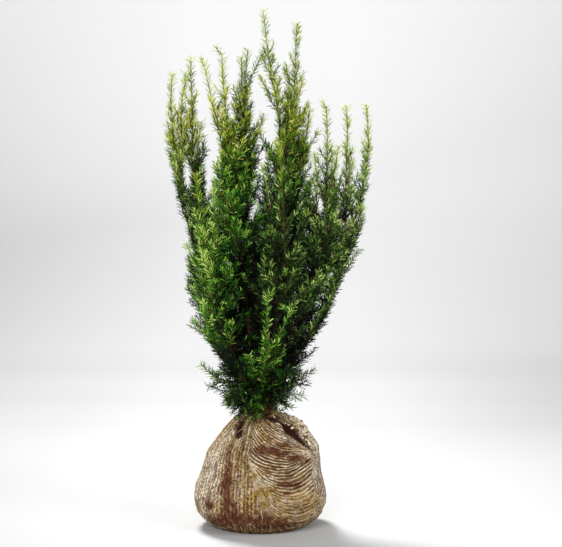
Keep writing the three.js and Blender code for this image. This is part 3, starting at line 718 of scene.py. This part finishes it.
def bezier_heading(curve, t):
    before, after = narrowed(list(curve), np.asarray(t, dtype=float)[..., None], 2)
    return unit(after - before)


def curve_length(curve):
    return float(np.sum(np.linalg.norm(np.diff(bezier(curve, np.linspace(0, 1, 64)), axis=0), axis=1)))


def bough_curve(leaves, end):
    """A bough leans out from the trunk and then turns up."""
    start, end = bezier(TRUNK, leaves), np.array(end, dtype=float)
    bend = start + (end - start) * [0.62, 0.62, 0.34]
    return np.array([start, bend, end])


def bark_tube(name, curve, radius_at, sides, rings, seed, material, relief):
    """A limb with its bark: a tube along a curve whose radius is multiplied by long plates, which are waves that
    run slowly along and quickly round, and by the short flakes that lift from them."""
    t = np.linspace(0, 1, rings)
    length = curve_length(curve)
    angle = round_angles(sides)
    around = [np.cos(angle) * 1.1, np.sin(angle) * 1.1]
    plates = waves([*around, t[:, None] * length / 70], seed, count=9)
    flakes = waves([around[0] * 2.2, around[1] * 2.2, t[:, None] * length / 22], seed + 1, count=9)
    radii = radius_at(t)[:, None] * (1 + relief * (0.6 * plates + 0.4 * np.abs(flakes)))
    vertices, faces = tube_arrays(bezier(curve, t)[None], radii[None], sides)
    return mesh_object(name, vertices, faces, [material])


def bark_material(name, stops, fissure):
    """Yew bark: thin scaly plates that peel lengthwise, reddish brown with paler edges and dark fissures, matt.
    Plates are about 4 mm wide and five times as long."""
    material, tree, shader = new_material(name, 0.82, Specular_IOR_Level=0.3)
    place = add_node(tree, "TexCoord", output="Object")
    long_place = add_node(tree, "Mapping", {"Vector": place, "Scale": (1, 1, 0.22)})
    plates = add_node(tree, "TexNoise", {
        "Vector": long_place, "Scale": 230.0, "Detail": 6.0, "Roughness": 0.65, "Distortion": 0.4})
    cracks = add_node(tree, "TexVoronoi", {"Vector": long_place, "Scale": 260.0},
                      "Distance", feature="DISTANCE_TO_EDGE")
    colour = add_node(tree, "ValToRGB", {"Fac": plates}, stops=stops)
    dark = add_node(tree, "MapRange", {
        "Value": cracks, "From Min": 0.0, "From Max": 0.12, "To Min": 0.8, "To Max": 0.0})
    tree.links.new(layered(tree, colour, (dark, fissure)), shader.inputs["Base Color"])
    bump = add_node(tree, "Bump", {"Height": plates, "Strength": 0.7, "Distance": 0.0015})
    tree.links.new(bump, shader.inputs["Normal"])
    return material


OLD_BARK = bark_material("scaly_yew_bark", [(0.3, "#1c100b"), (0.48, "#3d2217"), (0.62, "#5c3624"),
                                            (0.8, "#8a6046")], "#0e0705")
YOUNG_BARK = bark_material("young_yew_bark", [(0.3, "#2e180e"), (0.5, "#57301b"), (0.7, "#80492a")], "#180c06")


def trunk_radius(t):
    flare = TRUNK_FLARE * (1 - smoothstep(t, 0, TRUNK_FLARE_SHARE))
    return TRUNK_RADIUS + (TRUNK_TIP_RADIUS - TRUNK_RADIUS) * t + flare


def bough_radius(radius):
    """The radius at t of a bough, which tapers to its tip and swells where it leaves the trunk."""
    return lambda t: radius * (1 + (BOUGH_TAPER - 1) * t + 0.35 * np.exp(-t / 0.08))


dress(bark_tube("trunk_bark", TRUNK, trunk_radius, 48, 150, 101, OLD_BARK, 0.1), "bark", "trunk")
for number, (name, (leaves, end, radius)) in enumerate(BOUGHS.items()):
    bough = bark_tube(f"bough_bark_{name}", bough_curve(leaves, end), bough_radius(radius), 20, 60,
                      110 + 2 * number, YOUNG_BARK, 0.09)
    dress(bough, "young_bark", f"bough_{name}")


# ---------- the crown's stems ----------
# A mass grows from one stem, which goes on from its bough's end to the first of its tips. The other leaders part
# from it at the share of its length before their tip. A number after a tip is how far the leader bows sideways.
# Each row: reach of its side sprays, its needles' slot, how fresh its needles are, and its leaders.
MASSES = {
    "left_outer": (0.8, "needles", 0.45, ((0, (-185, 30, 951), -28), (0.12, (-143, -18, 980)),
                                          (0.3, (-124, 40, 852)), (0.55, (-155, 6, 953)))),
    "left_front": (0.9, "new_needles", 0.95, ((0, (-128, -98, 739)), (0.3, (-92, -98, 711)),
                                              (0.1, (-150, -70, 597)))),
    "left_back": (0.95, "old_needles", 0.15, ((0, (-136, 98, 772)), (0.3, (-100, 130, 690)),
                                              (0.05, (-150, 52, 560)))),
    "centre_left_front": (0.8, "new_needles", 0.7, ((0, (-78, -36, 987)), (0.2, (-114, -48, 966)))),
    "centre_left": (0.8, "needles", 0.4, ((0, (-25, 10, 1001)), (0.45, (6, 24, 994), -30), (0.3, (8, 50, 868)),
                                          (0.4, (-38, -10, 982)))),
    "centre_front": (0.95, "needles", 0.35, ((0, (40, -85, 808)), (0.3, (4, -82, 758)), (0.2, (100, -92, 666)))),
    "top_centre": (0.6, "new_needles", 0.75, ((0, (7, -15, 1077), -22), (0.35, (36, -24, 939)))),
    "top_right": (0.8, "new_needles", 0.75, ((0, (78, 30, 1058), -44), (0.45, (55, 52, 973)),
                                             (0.3, (106, 38, 880)))),
    "right_inner": (0.8, "needles", 0.5, ((0, (136, -75, 878)), (0.3, (162, -58, 797)), (0.25, (112, -98, 780)))),
    "right_outer": (0.85, "needles", 0.6, ((0, (223, 25, 886), 34), (0.3, (180, 6, 885)), (0.15, (209, 18, 583)))),
    "right_back": (0.95, "old_needles", 0.2, ((0, (156, 95, 793)), (0.3, (184, 80, 700)))),
    "back_left": (0.95, "old_needles", 0.2, ((0, (-62, 105, 862)), (0.3, (-20, 142, 770)))),
    "back_right": (0.95, "old_needles", 0.2, ((0, (68, 115, 902)), (0.3, (100, 140, 800)))),
    "back_low": (0.95, "old_needles", 0.1, ((0, (9, 150, 640)), (0.25, (50, 138, 560)))),
    "heart": (0.9, "old_needles", 0.05, ((0, (20, 14, 800)),)),
}
# The skirts spring from the trunk at a share of its length, given first.
SKIRTS = {
    "low_front": (0.1, (0.8, "new_needles", 1.35, ((0, (17, -122, 500)), (0.3, (68, -116, 473)),
                                                   (0.15, (-22, -84, 370))))),
    "low_left": (0.06, (0.8, "old_needles", 0.6, ((0, (-126, 10, 340)), (0.15, (-108, -48, 300)),
                                                  (0.1, (-72, -74, 284))))),
    "low_right": (0.08, (0.8, "old_needles", 0.6, ((0, (116, 0, 330)), (0.15, (90, -58, 282)),
                                                   (0.1, (92, 50, 318))))),
    "low_back": (0.05, (0.8, "old_needles", 0.15, ((0, (-34, 104, 350)), (0.2, (52, 96, 350))))),
}
# The crown's outline from the front: height, left edge, right edge. Side shoots stay inside it.
CROWN_EDGE = np.array([
    [220, -62, 40], [244, -66, 56], [258, -76, 86], [275, -86, 108], [296, -106, 118], [317, -106, 112],
    [328, -124, 116], [345, -110, 120], [365, -112, 114], [391, -130, 124], [414, -140, 134], [445, -160, 146],
    [487, -156, 158], [525, -158, 170], [550, -160, 184], [603, -146, 204], [640, -148, 216], [676, -154, 224],
    [707, -166, 228], [745, -184, 230], [785, -194, 232], [834, -202, 232], [900, -204, 230], [1100, -204, 230],
], dtype=float)
CROWN_FRONT, CROWN_BACK = 144, 156  # how far the crown reaches forward and back
# Gaps between the plumes, open from front to back: middle across, height, half width and half height.
SKY_GAPS = np.array([
    [-122, 870, 9, 40], [-108, 838, 10, 34], [-93, 806, 14, 34], [-62, 872, 9, 14], [30, 852, 19, 44],
    [-17, 668, 8, 28], [5, 770, 7, 26], [126, 676, 9, 20], [112, 815, 9, 40], [168, 776, 8, 32], [208, 776, 6, 30],
    [-154, 742, 12, 30], [-106, 736, 9, 34],
], dtype=float)
# The dark inside that shows between the front plumes: no shoot comes forward of its depth there.
HOLLOW, HOLLOW_DEPTH = np.array([-22, 424, 30, 74], dtype=float), -48
GROWTH = {**MASSES, **{name: row for name, (_, row) in SKIRTS.items()}}
NAMES = list(GROWTH)
SKIRT_RADIUS = 4.5  # of a skirt's stem at its foot
LEADER_NEEDLED = 310  # the length of a leader's plume
BUDDED = 80  # of the plume's top, which has only buds
SIDE_SHOOT_LENGTH = 140
LEADER_SPACING, BOUGH_SPACING, TWIG_SPACING = 9.5, 6, 15  # of the shoots along leaders, boughs and side shoots
SHORTEST_TWIGGED = 45  # a shorter side shoot has no twigs
NECK_CLEAR, NECK_CLEAR_SIDES = 6, 16  # how far shoots stay above the ball, and how much farther at its sides
OWN_SPACE = 1.6  # a shoot's tip may be this many times as far from its own stems as from another mass's
LEADER_RINGS, SIDE_RINGS, TWIG_RINGS = 72, 9, 5


def mass_foot(name):
    """Where a mass's stem starts, which way it sets out and how thick it is."""
    if name in BOUGHS:
        leaves, end, radius = BOUGHS[name]
        curve = bough_curve(leaves, end)
        return curve[2], bezier_heading(curve, 1.0), radius * BOUGH_TAPER
    if name in SKIRTS:
        point = bezier(TRUNK, SKIRTS[name][0])
        out = np.array(GROWTH[name][3][0][1], dtype=float) - point
        out[2] = 0.45 * math.hypot(out[0], out[1])
        return point, unit(out), SKIRT_RADIUS
    return TRUNK[2], bezier_heading(TRUNK, 1.0), TRUNK_TIP_RADIUS


def leader_curve(start, heading, tip, bow=0):
    """A leader sets out along a heading and bends to its tip. A bow moves the upper part of its bend sideways."""
    tip = np.array(tip, dtype=float)
    bend = start + 0.45 * np.linalg.norm(tip - start) * heading
    return np.array([start, start + (bend - start) * 2 / 3, tip + (bend - tip) * 2 / 3 + [bow, 0, 0], tip])


def grow_leaders(name):
    """The curves of a mass's leaders with their radii: its stem, and the others that part from the stem halfway
    between the stem's heading and their own tip's."""
    leaders = GROWTH[name][3]
    point, heading, radius = mass_foot(name)
    stem = leader_curve(point - 1.5 * heading, heading, *leaders[0][1:])
    grown = [(stem, radius)]
    for share, tip, *bow in leaders[1:]:
        start = bezier(stem, share)
        out = unit(unit(np.array(tip, dtype=float) - start) + bezier_heading(stem, share))
        grown.append((leader_curve(start, out, tip, *bow), (radius + (2 - radius) * share) * 0.8))
    return grown


# Each order's stems: path, radii, mass, the share of the path where needles begin, and their tone.
stems = {"leader": [], "side": [], "twig": []}
rngs = {name: np.random.default_rng(200 + index) for index, name in enumerate(NAMES)}
curves = {name: grow_leaders(name) for name in NAMES}
samples = {name: np.concatenate([bezier(curve, np.linspace(0, 1, 13)) for curve, _ in curves[name]])
           for name in NAMES}


def distances(tip):
    """How far a tip is from the stems of each mass."""
    return {name: np.min(np.linalg.norm(places - tip, axis=1)) for name, places in samples.items()}


def in_own_space(name, tip):
    """Whether a tip isn't much nearer to the stems of another mass than to its own."""
    away = distances(tip)
    own = away.pop(name)
    return own < OWN_SPACE * min(away.values())


def in_crown(tip):
    """Whether a tip is clear of the ball, most so at both sides of the neck, and inside the outline: a rounded box
    of the outline's width and the crown's reach forward and back."""
    ball = np.interp(math.hypot(tip[0], tip[1]), BALL_PROFILE[:3:-1, 0] + 14, BALL_PROFILE[:3:-1, 1])
    left, right = (np.interp(tip[2], CROWN_EDGE[:, 0], CROWN_EDGE[:, side]) for side in (1, 2))
    middle, half = (left + right) / 2, (right - left) / 2
    depth = (CROWN_FRONT if tip[1] < 0 else CROWN_BACK) * np.interp(tip[2], [250, 420, 600], [0.56, 0.8, 1])
    clear = tip[2] > ball + NECK_CLEAR + NECK_CLEAR_SIDES * float(smoothstep(abs(tip[0] + 16), 12, 32))
    within = abs((tip[0] - middle) / half) ** 4 + abs(tip[1] / depth) ** 4 < 1
    return clear and within and not in_gap(tip)


def in_gap(place):
    """Whether a place is in a gap between the plumes or forward in the hollow."""
    spans = np.vstack([SKY_GAPS, HOLLOW])
    inside = ((place[0] - spans[:, 0]) / spans[:, 2]) ** 2 + ((place[2] - spans[:, 1]) / spans[:, 3]) ** 2 < 1
    return inside[:-1].any() or (inside[-1] and place[1] < HOLLOW_DEPTH)


def wavy(curve, rings, rng, amount):
    """A curve's places, moved aside by slow waves that leave both its ends in place."""
    t = np.linspace(0, 1, rings)
    side, other = frames_across(bezier_heading(curve, t))
    phase = rng.random(2)
    sway = np.sin(math.pi * t)[:, None] * amount
    return bezier(curve, t) + sway * (side * np.sin(math.tau * (1.6 * t + phase[0]))[:, None]
                                      + other * np.sin(math.tau * (1.2 * t + phase[1]))[:, None])


def at_share(path, share):
    """The place and heading at a share of a path's rings."""
    at = share * (len(path) - 1)
    i = min(int(at), len(path) - 2)
    return path[i] + (path[i + 1] - path[i]) * (at - i), unit(path[i + 1] - path[i])


def toward(azimuth, elevation):
    return np.array([math.cos(azimuth) * math.cos(elevation), math.sin(azimuth) * math.cos(elevation),
                     math.sin(elevation)])


def freshness_and_painted_light_at(place, fresh):
    """How light a shoot's needles are, from 0 to 1: a fresh mass, height and the outside of the crown all help;
    height and the outside are painted light, and the inside of the crown painted shade.
    """
    outer = min(1, math.hypot((place[0] - 15) / 190, place[1] / 140))
    high = 0.08 * float(smoothstep(place[2], 380, 620)) + 0.2 * float(smoothstep(place[2], 530, 940))
    return 0.3 * fresh + high + 0.3 * outer ** 2 - 0.2


def side_length(left, length, reach, rng):
    """A side shoot's length by how much of the leader is left above it: buds on the plume, short shoots on its
    lower half, and below it the source's length, which grows towards the foot."""
    if left < BUDDED:
        return 0 if rng.random() > 0.12 else rng.uniform(14, 22)
    if left < LEADER_NEEDLED:
        return (24 + 62 * (left - BUDDED) / (LEADER_NEEDLED - BUDDED)) * rng.uniform(0.75, 1.25)
    bare = max(length - LEADER_NEEDLED, 1)
    share = (length - left) / bare
    return SIDE_SHOOT_LENGTH * reach * (1 - 0.3 * share) * rng.uniform(0.72, 1.12)


# a side shoot is tried at these shares of its length and turns before it is left out
SIDE_TRIES = [(part, turn) for part in (1, 0.75, 0.55, 0.38) for turn in (0, 0.5, -0.5, 1, -1)]


def grow_side_shoots(name, path, length, spacing, length_left, fresh, rng, rises=None, set_out=-0.35):
    """Side shoots stand round a stem by the golden angle. Each leans out and turns up, and its twigs stand to its
    two sides in turn. length_left gives a shoot's length from how much of the stem is left above it, and set_out is
    how much lower than its rise it starts. On bare wood there is no name, and each shoot belongs to the mass that
    its tip is nearest to."""
    count = int(length / spacing)
    azimuth = rng.random() * math.tau
    for i in range(count):
        azimuth += GOLDEN_ANGLE + rng.normal(0, 0.15)
        share = (i + 0.2 + 0.6 * rng.random()) / count
        left = length * (1 - share)
        wanted = length_left(left)
        if wanted == 0:
            continue
        root, _ = at_share(path, share)
        steep = float(smoothstep(root[2], 340, 640))
        rise = rng.uniform(*(rises or (0.5 + 0.36 * steep, 0.95 + 0.2 * steep)))
        for part, turn in SIDE_TRIES:
            reached = wanted * part
            tip = root + toward(azimuth + turn, rise) * reached
            open_way = in_crown(tip) and not in_gap(root + 0.55 * (tip - root))
            if open_way and (name is None or in_own_space(name, tip)):
                break
        else:
            continue
        away = distances(tip)
        owner = name or min(away, key=away.get)
        side = wavy(leader_curve(root, toward(azimuth + turn, rise + set_out), tip), SIDE_RINGS, rng,
                    0.02 * reached)
        tone = freshness_and_painted_light_at(tip, fresh) + rng.normal(0, 0.15)
        stems["side"].append((side, np.linspace(0.9 + reached / 110, 0.6, SIDE_RINGS), owner, 0.06, tone))
        if reached < SHORTEST_TWIGGED:
            continue
        twigs = int(reached * 0.78 / TWIG_SPACING)
        across = unit(np.cross(tip - root, toward(azimuth + turn, rise - 1.2)))
        for k in range(twigs):
            twig_share = 0.16 + 0.7 * (k + rng.random()) / twigs
            start, heading = at_share(side, twig_share)
            reach_out = reached * (0.42 - 0.22 * twig_share) * rng.uniform(0.75, 1.15)
            out = unit(heading + (1 if k % 2 else -1) * 0.95 * across + rng.normal(0, 0.16, 3))
            twig_tip = start + out * reach_out + [0, 0, 0.16 * reach_out]
            if not in_crown(twig_tip) or not in_own_space(owner, twig_tip):
                continue
            twig = wavy(leader_curve(start, out, twig_tip), TWIG_RINGS, rng, 0.02 * reach_out)
            stems["twig"].append((twig, np.linspace(0.8, 0.5, TWIG_RINGS), owner, 0.05, tone + rng.normal(0, 0.08)))


for name in NAMES:
    reach, _, fresh, _ = GROWTH[name]
    rng = rngs[name]
    for curve, radius in curves[name]:
        length = curve_length(curve)
        path = wavy(curve, LEADER_RINGS, rng, min(4.0, 0.008 * length))
        t = np.linspace(0, 1, LEADER_RINGS)
        left = length * (1 - t)
        radii = np.where(left > LEADER_NEEDLED, 1.7 + (radius - 1.7) * (left - LEADER_NEEDLED)
                         / max(length - LEADER_NEEDLED, 1), 0.8 + 0.9 * left / LEADER_NEEDLED)
        bare = (1 - min(LEADER_NEEDLED / length, 0.78)) * 0.55
        stems["leader"].append((path, radii, name, bare, 0.1 + freshness_and_painted_light_at(curve[-1], fresh) + rng.normal(0, 0.06)))
        grow_side_shoots(name, path, length, LEADER_SPACING, lambda left: side_length(left, length, reach, rng),
                         fresh, rng)
rng = np.random.default_rng(230)
# the boughs' shoots get a freshness of -0.7, darker than the oldest needles: painted shade inside the crown
for leaves, end, _ in BOUGHS.values():
    curve = bough_curve(leaves, end)
    path = bezier(curve, np.linspace(0.2, 1, 24))
    grow_side_shoots(None, path, 0.8 * curve_length(curve), BOUGH_SPACING, lambda left: rng.uniform(55, 115), -0.7,
                     rng)
# The trunk's shoots rise, those round its foot lie nearly level, and the lowest arch over the neck of the ball. Each
# row: the stretch of the trunk, spacing, range of lengths, how fresh they are, the range of their rise and set_out. A
# freshness below 0, as on the rising shoots, makes them darker than the oldest needles: painted shade inside the
# crown.
TRUNK_SHOOTS = (
    (0.2, 1, 3, (40, 100), -1, (0.5, 1.1), -0.35), (0.06, 0.32, 1.4, (55, 122), 0.45, (-0.3, 0.7), -0.2),
    (0.06, 0.16, 0.4, (44, 96), 0.5, (-0.55, 0.0), 0.75),
)
for first, last, spacing, lengths, fresh, rises, set_out in TRUNK_SHOOTS:
    path = bezier(TRUNK, np.linspace(first, last, 40))
    length = (last - first) * curve_length(TRUNK)
    grow_side_shoots(None, path, length, spacing, lambda left: rng.uniform(*lengths), fresh, rng, rises, set_out)


# ---------- needles ----------
# Yew needles: flat, leathery and softly glossy, darkest when old. A fresh mass is a clearer green, and the top of the
# crown is yellow-green, partly new growth and partly painted sunlight. Each palette runs from near black to pale, and
# a needle's step on it is painted shade and painted light by where it stands. Plain colours, dealt out by shoot.
SHADE_TINTS = ("#030602", "#091507", "#182f0f", "#32551b", "#5b842e", "#8eb051", "#c0d07b")
FRESH_TINTS = ("#030702", "#081a05", "#153b0a", "#2e6511", "#549020", "#86b440", "#b6cf6c")
SUN_TINTS = ("#0e1a06", "#24400c", "#4a6a12", "#7c9318", "#9fac2c", "#b2b84c", "#c6c878")
WOOD_TINTS = ("#1c100a", "#3a2013", "#6b3f22", "#5e6a24")
WOOD_AGES = (0.3, 0.55, 0.75)  # shares of a leader's length where its wood takes the next tint
WOOD_TONES = (0.2, 0.5, 0.75)  # tones of a shoot's needles where its wood does


def plain_material(name, colour, roughness):
    material, _, shader = new_material(name, roughness, Specular_IOR_Level=0.15)
    shader.inputs["Base Color"].default_value = linear(colour)
    return material


NEEDLE_MATERIALS = [plain_material(f"yew_needle_{kind}_{k}", tint, 0.48)
                    for kind, tints in (("shade", SHADE_TINTS), ("fresh", FRESH_TINTS), ("sun", SUN_TINTS))
                    for k, tint in enumerate(tints)]
WOOD_MATERIALS = [plain_material(f"yew_shoot_{k}", tint, 0.7) for k, tint in enumerate(WOOD_TINTS)]

# A needle's outline: share of its length, of half its width, and of its width upwards along its keel.
NEEDLE_SHAPE = np.array([[0, 0, 0], [0.2, -0.85, 0], [0.3, 0, 0.3], [0.2, 0.85, 0], [0.72, -0.9, 0], [0.72, 0.9, 0],
                         [1, 0, 0]])
NEEDLE_FACES = np.array([[0, 1, 2], [0, 2, 3], [1, 4, 2], [2, 4, 5], [2, 5, 3], [4, 6, 5]])
NEEDLE_WIDTH = 1.7
# for each order of stems: seed, and how much wider and shorter the needles stand at a tip
NEEDLE_RULES = {"leader": (301, 0.4, 0.05), "side": (302, -0.45, 0.32), "twig": (303, -0.45, 0.32)}
# painted sunlight, partly the yellow-green of new growth: needles take the sun tints by height
SUNNY = {"leader": (540, 860), "side": (620, 960), "twig": (620, 960)}  # heights over which needles turn yellow


def on_path(path, run, at):
    """The places at distances along a path."""
    return np.stack([np.interp(at, run, path[:, k]) for k in range(3)], axis=-1)


def needles_of(order, pitch, size, lean):
    """The needles of all stems of one order, as arrays: they stand at a pitch along the stem, turned by the golden
    angle, and lean from it by `lean`. Towards the tip of a shoot they close up and shorten, and at the tip of a
    leader they spread into a star."""
    seed, spread, shrink = NEEDLE_RULES[order]
    rng = np.random.default_rng(seed)
    rows = []
    for path, _, name, bare, tone in stems[order]:
        run = run_along(path)
        count = max(6, int(run[-1] * (1 - bare) / pitch))
        at = run[-1] * (bare + (1 - bare) * (np.arange(count) + rng.random(count) * 0.8) / count)
        ahead = np.minimum(at + 2, run[-1])
        heading = unit(on_path(path, run, ahead) - on_path(path, run, ahead - 3))
        rows.append((on_path(path, run, at), heading, np.full(count, NAMES.index(name)), np.full(count, tone),
                     run[-1] - at))
    root, heading, owner, tone, left = (np.concatenate(column) for column in zip(*rows))
    total = len(root)
    side, other = frames_across(heading)
    turn = np.arange(total) * GOLDEN_ANGLE + rng.normal(0, 0.25, total)
    out = np.cos(turn)[:, None] * side + np.sin(turn)[:, None] * other
    near_tip = np.exp(-left / 14)
    angle = lean * (1 + spread * near_tip) + rng.normal(0, 0.14, total)
    direction = unit(np.cos(angle)[:, None] * heading + np.sin(angle)[:, None] * out + [0, 0, 0.08])
    flat = unit(np.cross(direction, heading))
    roll = rng.normal(0, 0.8, total)[:, None]
    across = flat * np.cos(roll) + np.cross(direction, flat) * np.sin(roll)
    length = size * rng.uniform(0.78, 1.15, total) * (1 - shrink * near_tip)
    # painted highlight: a needle is paler the nearer it stands to its shoot's tip, over its shoot's tone and a random
    # tone of its own
    shade = tone - 0.08 + 0.46 * np.exp(-left / 24) + rng.normal(0, 0.19, total)
    sunny = smoothstep(root[:, 2], *SUNNY[order]) + rng.normal(0, 0.14, total) > 0.5
    fresh = np.array([GROWTH[name][1] == "new_needles" for name in NAMES])[owner]
    return dict(root=root, direction=direction, across=across, up=np.cross(across, direction), length=length,
                owner=owner, shade=shade, palette=np.where(sunny, 2, np.where(fresh, 1, 0)))


def needle_vertices(needles):
    """Each needle's outline set at its root: length runs along its direction, which bends up by a tenth of its
    length, width across it and the keel up from it."""
    along, wide, keel = NEEDLE_SHAPE.T
    length = needles["length"][:, None]
    bend = 0.1 * along ** 2
    return (needles["root"][:, None] + needles["direction"][:, None] * (length * along)[..., None]
            + needles["across"][:, None] * (NEEDLE_WIDTH / 2 * wide)[:, None]
            + needles["up"][:, None] * (NEEDLE_WIDTH * keel + length * bend)[..., None])


NEEDLE_ORDERS = [needles_of("leader", 1.15, 16, 0.9), needles_of("side", 1.55, 16.5, 0.95),
                 needles_of("twig", 1.6, 15.5, 0.98)]
needles = {key: np.concatenate([order[key] for order in NEEDLE_ORDERS]) for key in NEEDLE_ORDERS[0]}
needle_places = needle_vertices(needles)
lightest = len(SHADE_TINTS) - 1
needle_tint = np.clip(needles["shade"] * lightest, 0, lightest).round().astype(int)
needle_tint = needle_tint + len(SHADE_TINTS) * needles["palette"]


def wood_of(name):
    """The stems of one mass as joined tubes: vertices, faces and each face's wood tint. A leader turns from old wood
    to green towards its tip, and a shoot's wood goes by its tone, which carries its needles' painted light and shade."""
    vertices, faces, kinds, start = [], [[], []], [[], []], 0
    for order, sides in (("leader", 6), ("side", 4), ("twig", 3)):
        own = [stem for stem in stems[order] if stem[2] == name]
        if not own:
            continue
        paths, radii = np.stack([stem[0] for stem in own]), np.stack([stem[1] for stem in own])
        points, groups = tube_arrays(paths, radii, sides)
        rings = paths.shape[1] - 1
        if order == "leader":
            ring_kind = np.digitize(np.linspace(0, 1, rings), WOOD_AGES)
            quads = np.tile(np.repeat(ring_kind, sides), len(own))
            ends = np.tile(np.repeat([0, len(WOOD_AGES)], sides), len(own))
        else:
            kind = np.digitize([stem[4] for stem in own], WOOD_TONES)
            quads, ends = np.repeat(kind, rings * sides), np.repeat(kind, 2 * sides)
        vertices.append(points)
        for k, (group, kind) in enumerate(zip(groups, (quads, ends))):
            faces[k].append(group + start)
            kinds[k].append(kind)
        start += len(points)
    return (np.concatenate(vertices), [np.concatenate(group) for group in faces],
            np.concatenate([np.concatenate(group) for group in kinds]))


for index, name in enumerate(NAMES):
    slot, own = GROWTH[name][1], needles["owner"] == index
    count = np.count_nonzero(own)
    triangles = (NEEDLE_FACES[None] + len(NEEDLE_SHAPE) * np.arange(count)[:, None, None]).reshape(-1, 3)
    tints = np.repeat(needle_tint[own], len(NEEDLE_FACES))
    leaves = mesh_object(f"needles_{name}", needle_places[own].reshape(-1, 3), [triangles], NEEDLE_MATERIALS,
                         kinds=tints, smooth=False)
    dress(leaves, slot, f"foliage_{name}")
    points, faces, kinds = wood_of(name)
    dress(mesh_object(f"twigs_{name}", points, faces, WOOD_MATERIALS, kinds=kinds), slot, f"foliage_{name}")


# ---------- floor, light and camera ----------
WALL, COVE = 5000, 1500  # how far behind the plant the wall stands, and the radius of the round at its foot


def backdrop():
    """A sweep of pale board: flat floor, a quarter round behind and a wall, as one profile carried sideways."""
    turn = np.linspace(0, math.pi / 2, 24)
    cove = np.stack([WALL - COVE * (1 - np.sin(turn)), COVE * (1 - np.cos(turn))], axis=-1)
    profile = np.concatenate([[[-7000, 0]], cove, [[WALL, 7000]]])
    across = np.linspace(-8000, 8000, 3)
    places = np.column_stack([np.tile(across, len(profile)), np.repeat(profile, len(across), axis=0)])
    quads = grid_faces(len(profile), len(across), wrap_columns=False)
    board, tree, shader = new_material("white_painted_board", 0.9, Specular_IOR_Level=0.2)
    place = add_node(tree, "TexCoord", output="Object")
    aside = add_node(tree, "SeparateXYZ", {"Vector": place})
    behind = aside.node.outputs["Y"]
    either_side = add_node(tree, "Math", {0: aside}, operation="ABSOLUTE")
    far, outer, right, near = (
        add_node(tree, "MapRange", {"Value": source, "From Min": low, "From Max": high})
        for source, low, high in (
            (behind, 0.0, 5.0), (either_side, 0.4, 1.5), (aside, -0.6, 0.4), (behind, 3.5, 2.0)))
    # painted shade and light: the board is painted a shade darker in front and on the floor's left, where the light
    # is strongest, and towards both sides, and paler towards the wall, so that the lit board grades in brightness
    depth, sides, left = (
        add_node(tree, "ValToRGB", {"Fac": source}, stops=stops) for source, stops in (
            (far, [(0.0, "#b2b2b2"), (0.11, "#acacac"), (0.28, "#a3a3a3"), (0.39, "#a7a7a7"), (0.57, "#b9b9b9"),
                   (0.72, "#d3d3d3"), (0.84, "#dadada"), (0.885, "#dddddd"), (0.93, "#e3e3e3"), (0.965, "#ebebeb"),
                   (1.0, "#f1f1f1")]),
            (outer, [(0.0, "#ffffff"), (1.0, "#e8e8e8")]), (right, [(0.0, "#e9e9e9"), (1.0, "#ffffff")])))
    colour = layered(tree, depth, (1.0, sides, "MULTIPLY"), (near, left, "MULTIPLY"))
    tree.links.new(colour, shader.inputs["Base Color"])
    mesh_object("backdrop", places, [quads], [board])


def softbox(name, place, target, size, power):
    """A square light of a size in metres and a power in watts, turned to its target."""
    light = bpy.data.lights.new(name, "AREA")
    light.energy, light.size = power, size
    made = add_object(name, light)
    made.location = place
    aim = np.subtract(target, place)
    made.rotation_euler = (math.atan2(math.hypot(aim[0], aim[1]), -aim[2]), 0, math.atan2(-aim[0], aim[1]))


backdrop()
softbox("key", (-1.0, -3.0, 1.5), (0, 0, 0.45), 1.6, 122)
softbox("fill", (2.5, -1.8, 1.7), (0.1, 0, 0.4), 1.6, 75)
softbox("back", (-0.75, 1.6, 2.6), (0, 0, 0.2), 0.8, 190)
softbox("left_wall_wash", (-2.4, 2.8, 2.8), (-0.6, 5.0, 1.1), 1.6, 44)
softbox("right_wall_wash", (2.4, 2.8, 2.8), (0.6, 5.0, 1.1), 1.6, 44)

world = bpy.data.worlds.new("studio")
world.use_nodes = True
world.node_tree.nodes["Background"].inputs["Color"].default_value = linear("#ffffff")
world.node_tree.nodes["Background"].inputs["Strength"].default_value = 0.2
scene = bpy.context.scene
scene.world = world
scene.view_settings.view_transform = "Standard"

camera_data = bpy.data.cameras.new("camera")
camera_data.lens, camera_data.sensor_width = 97.61, 36
camera = add_object("camera", camera_data)
camera.location = (0.044, -3.1956, 0.6995)
camera.rotation_euler = (math.radians(87), 0, 0)
scene.camera = camera
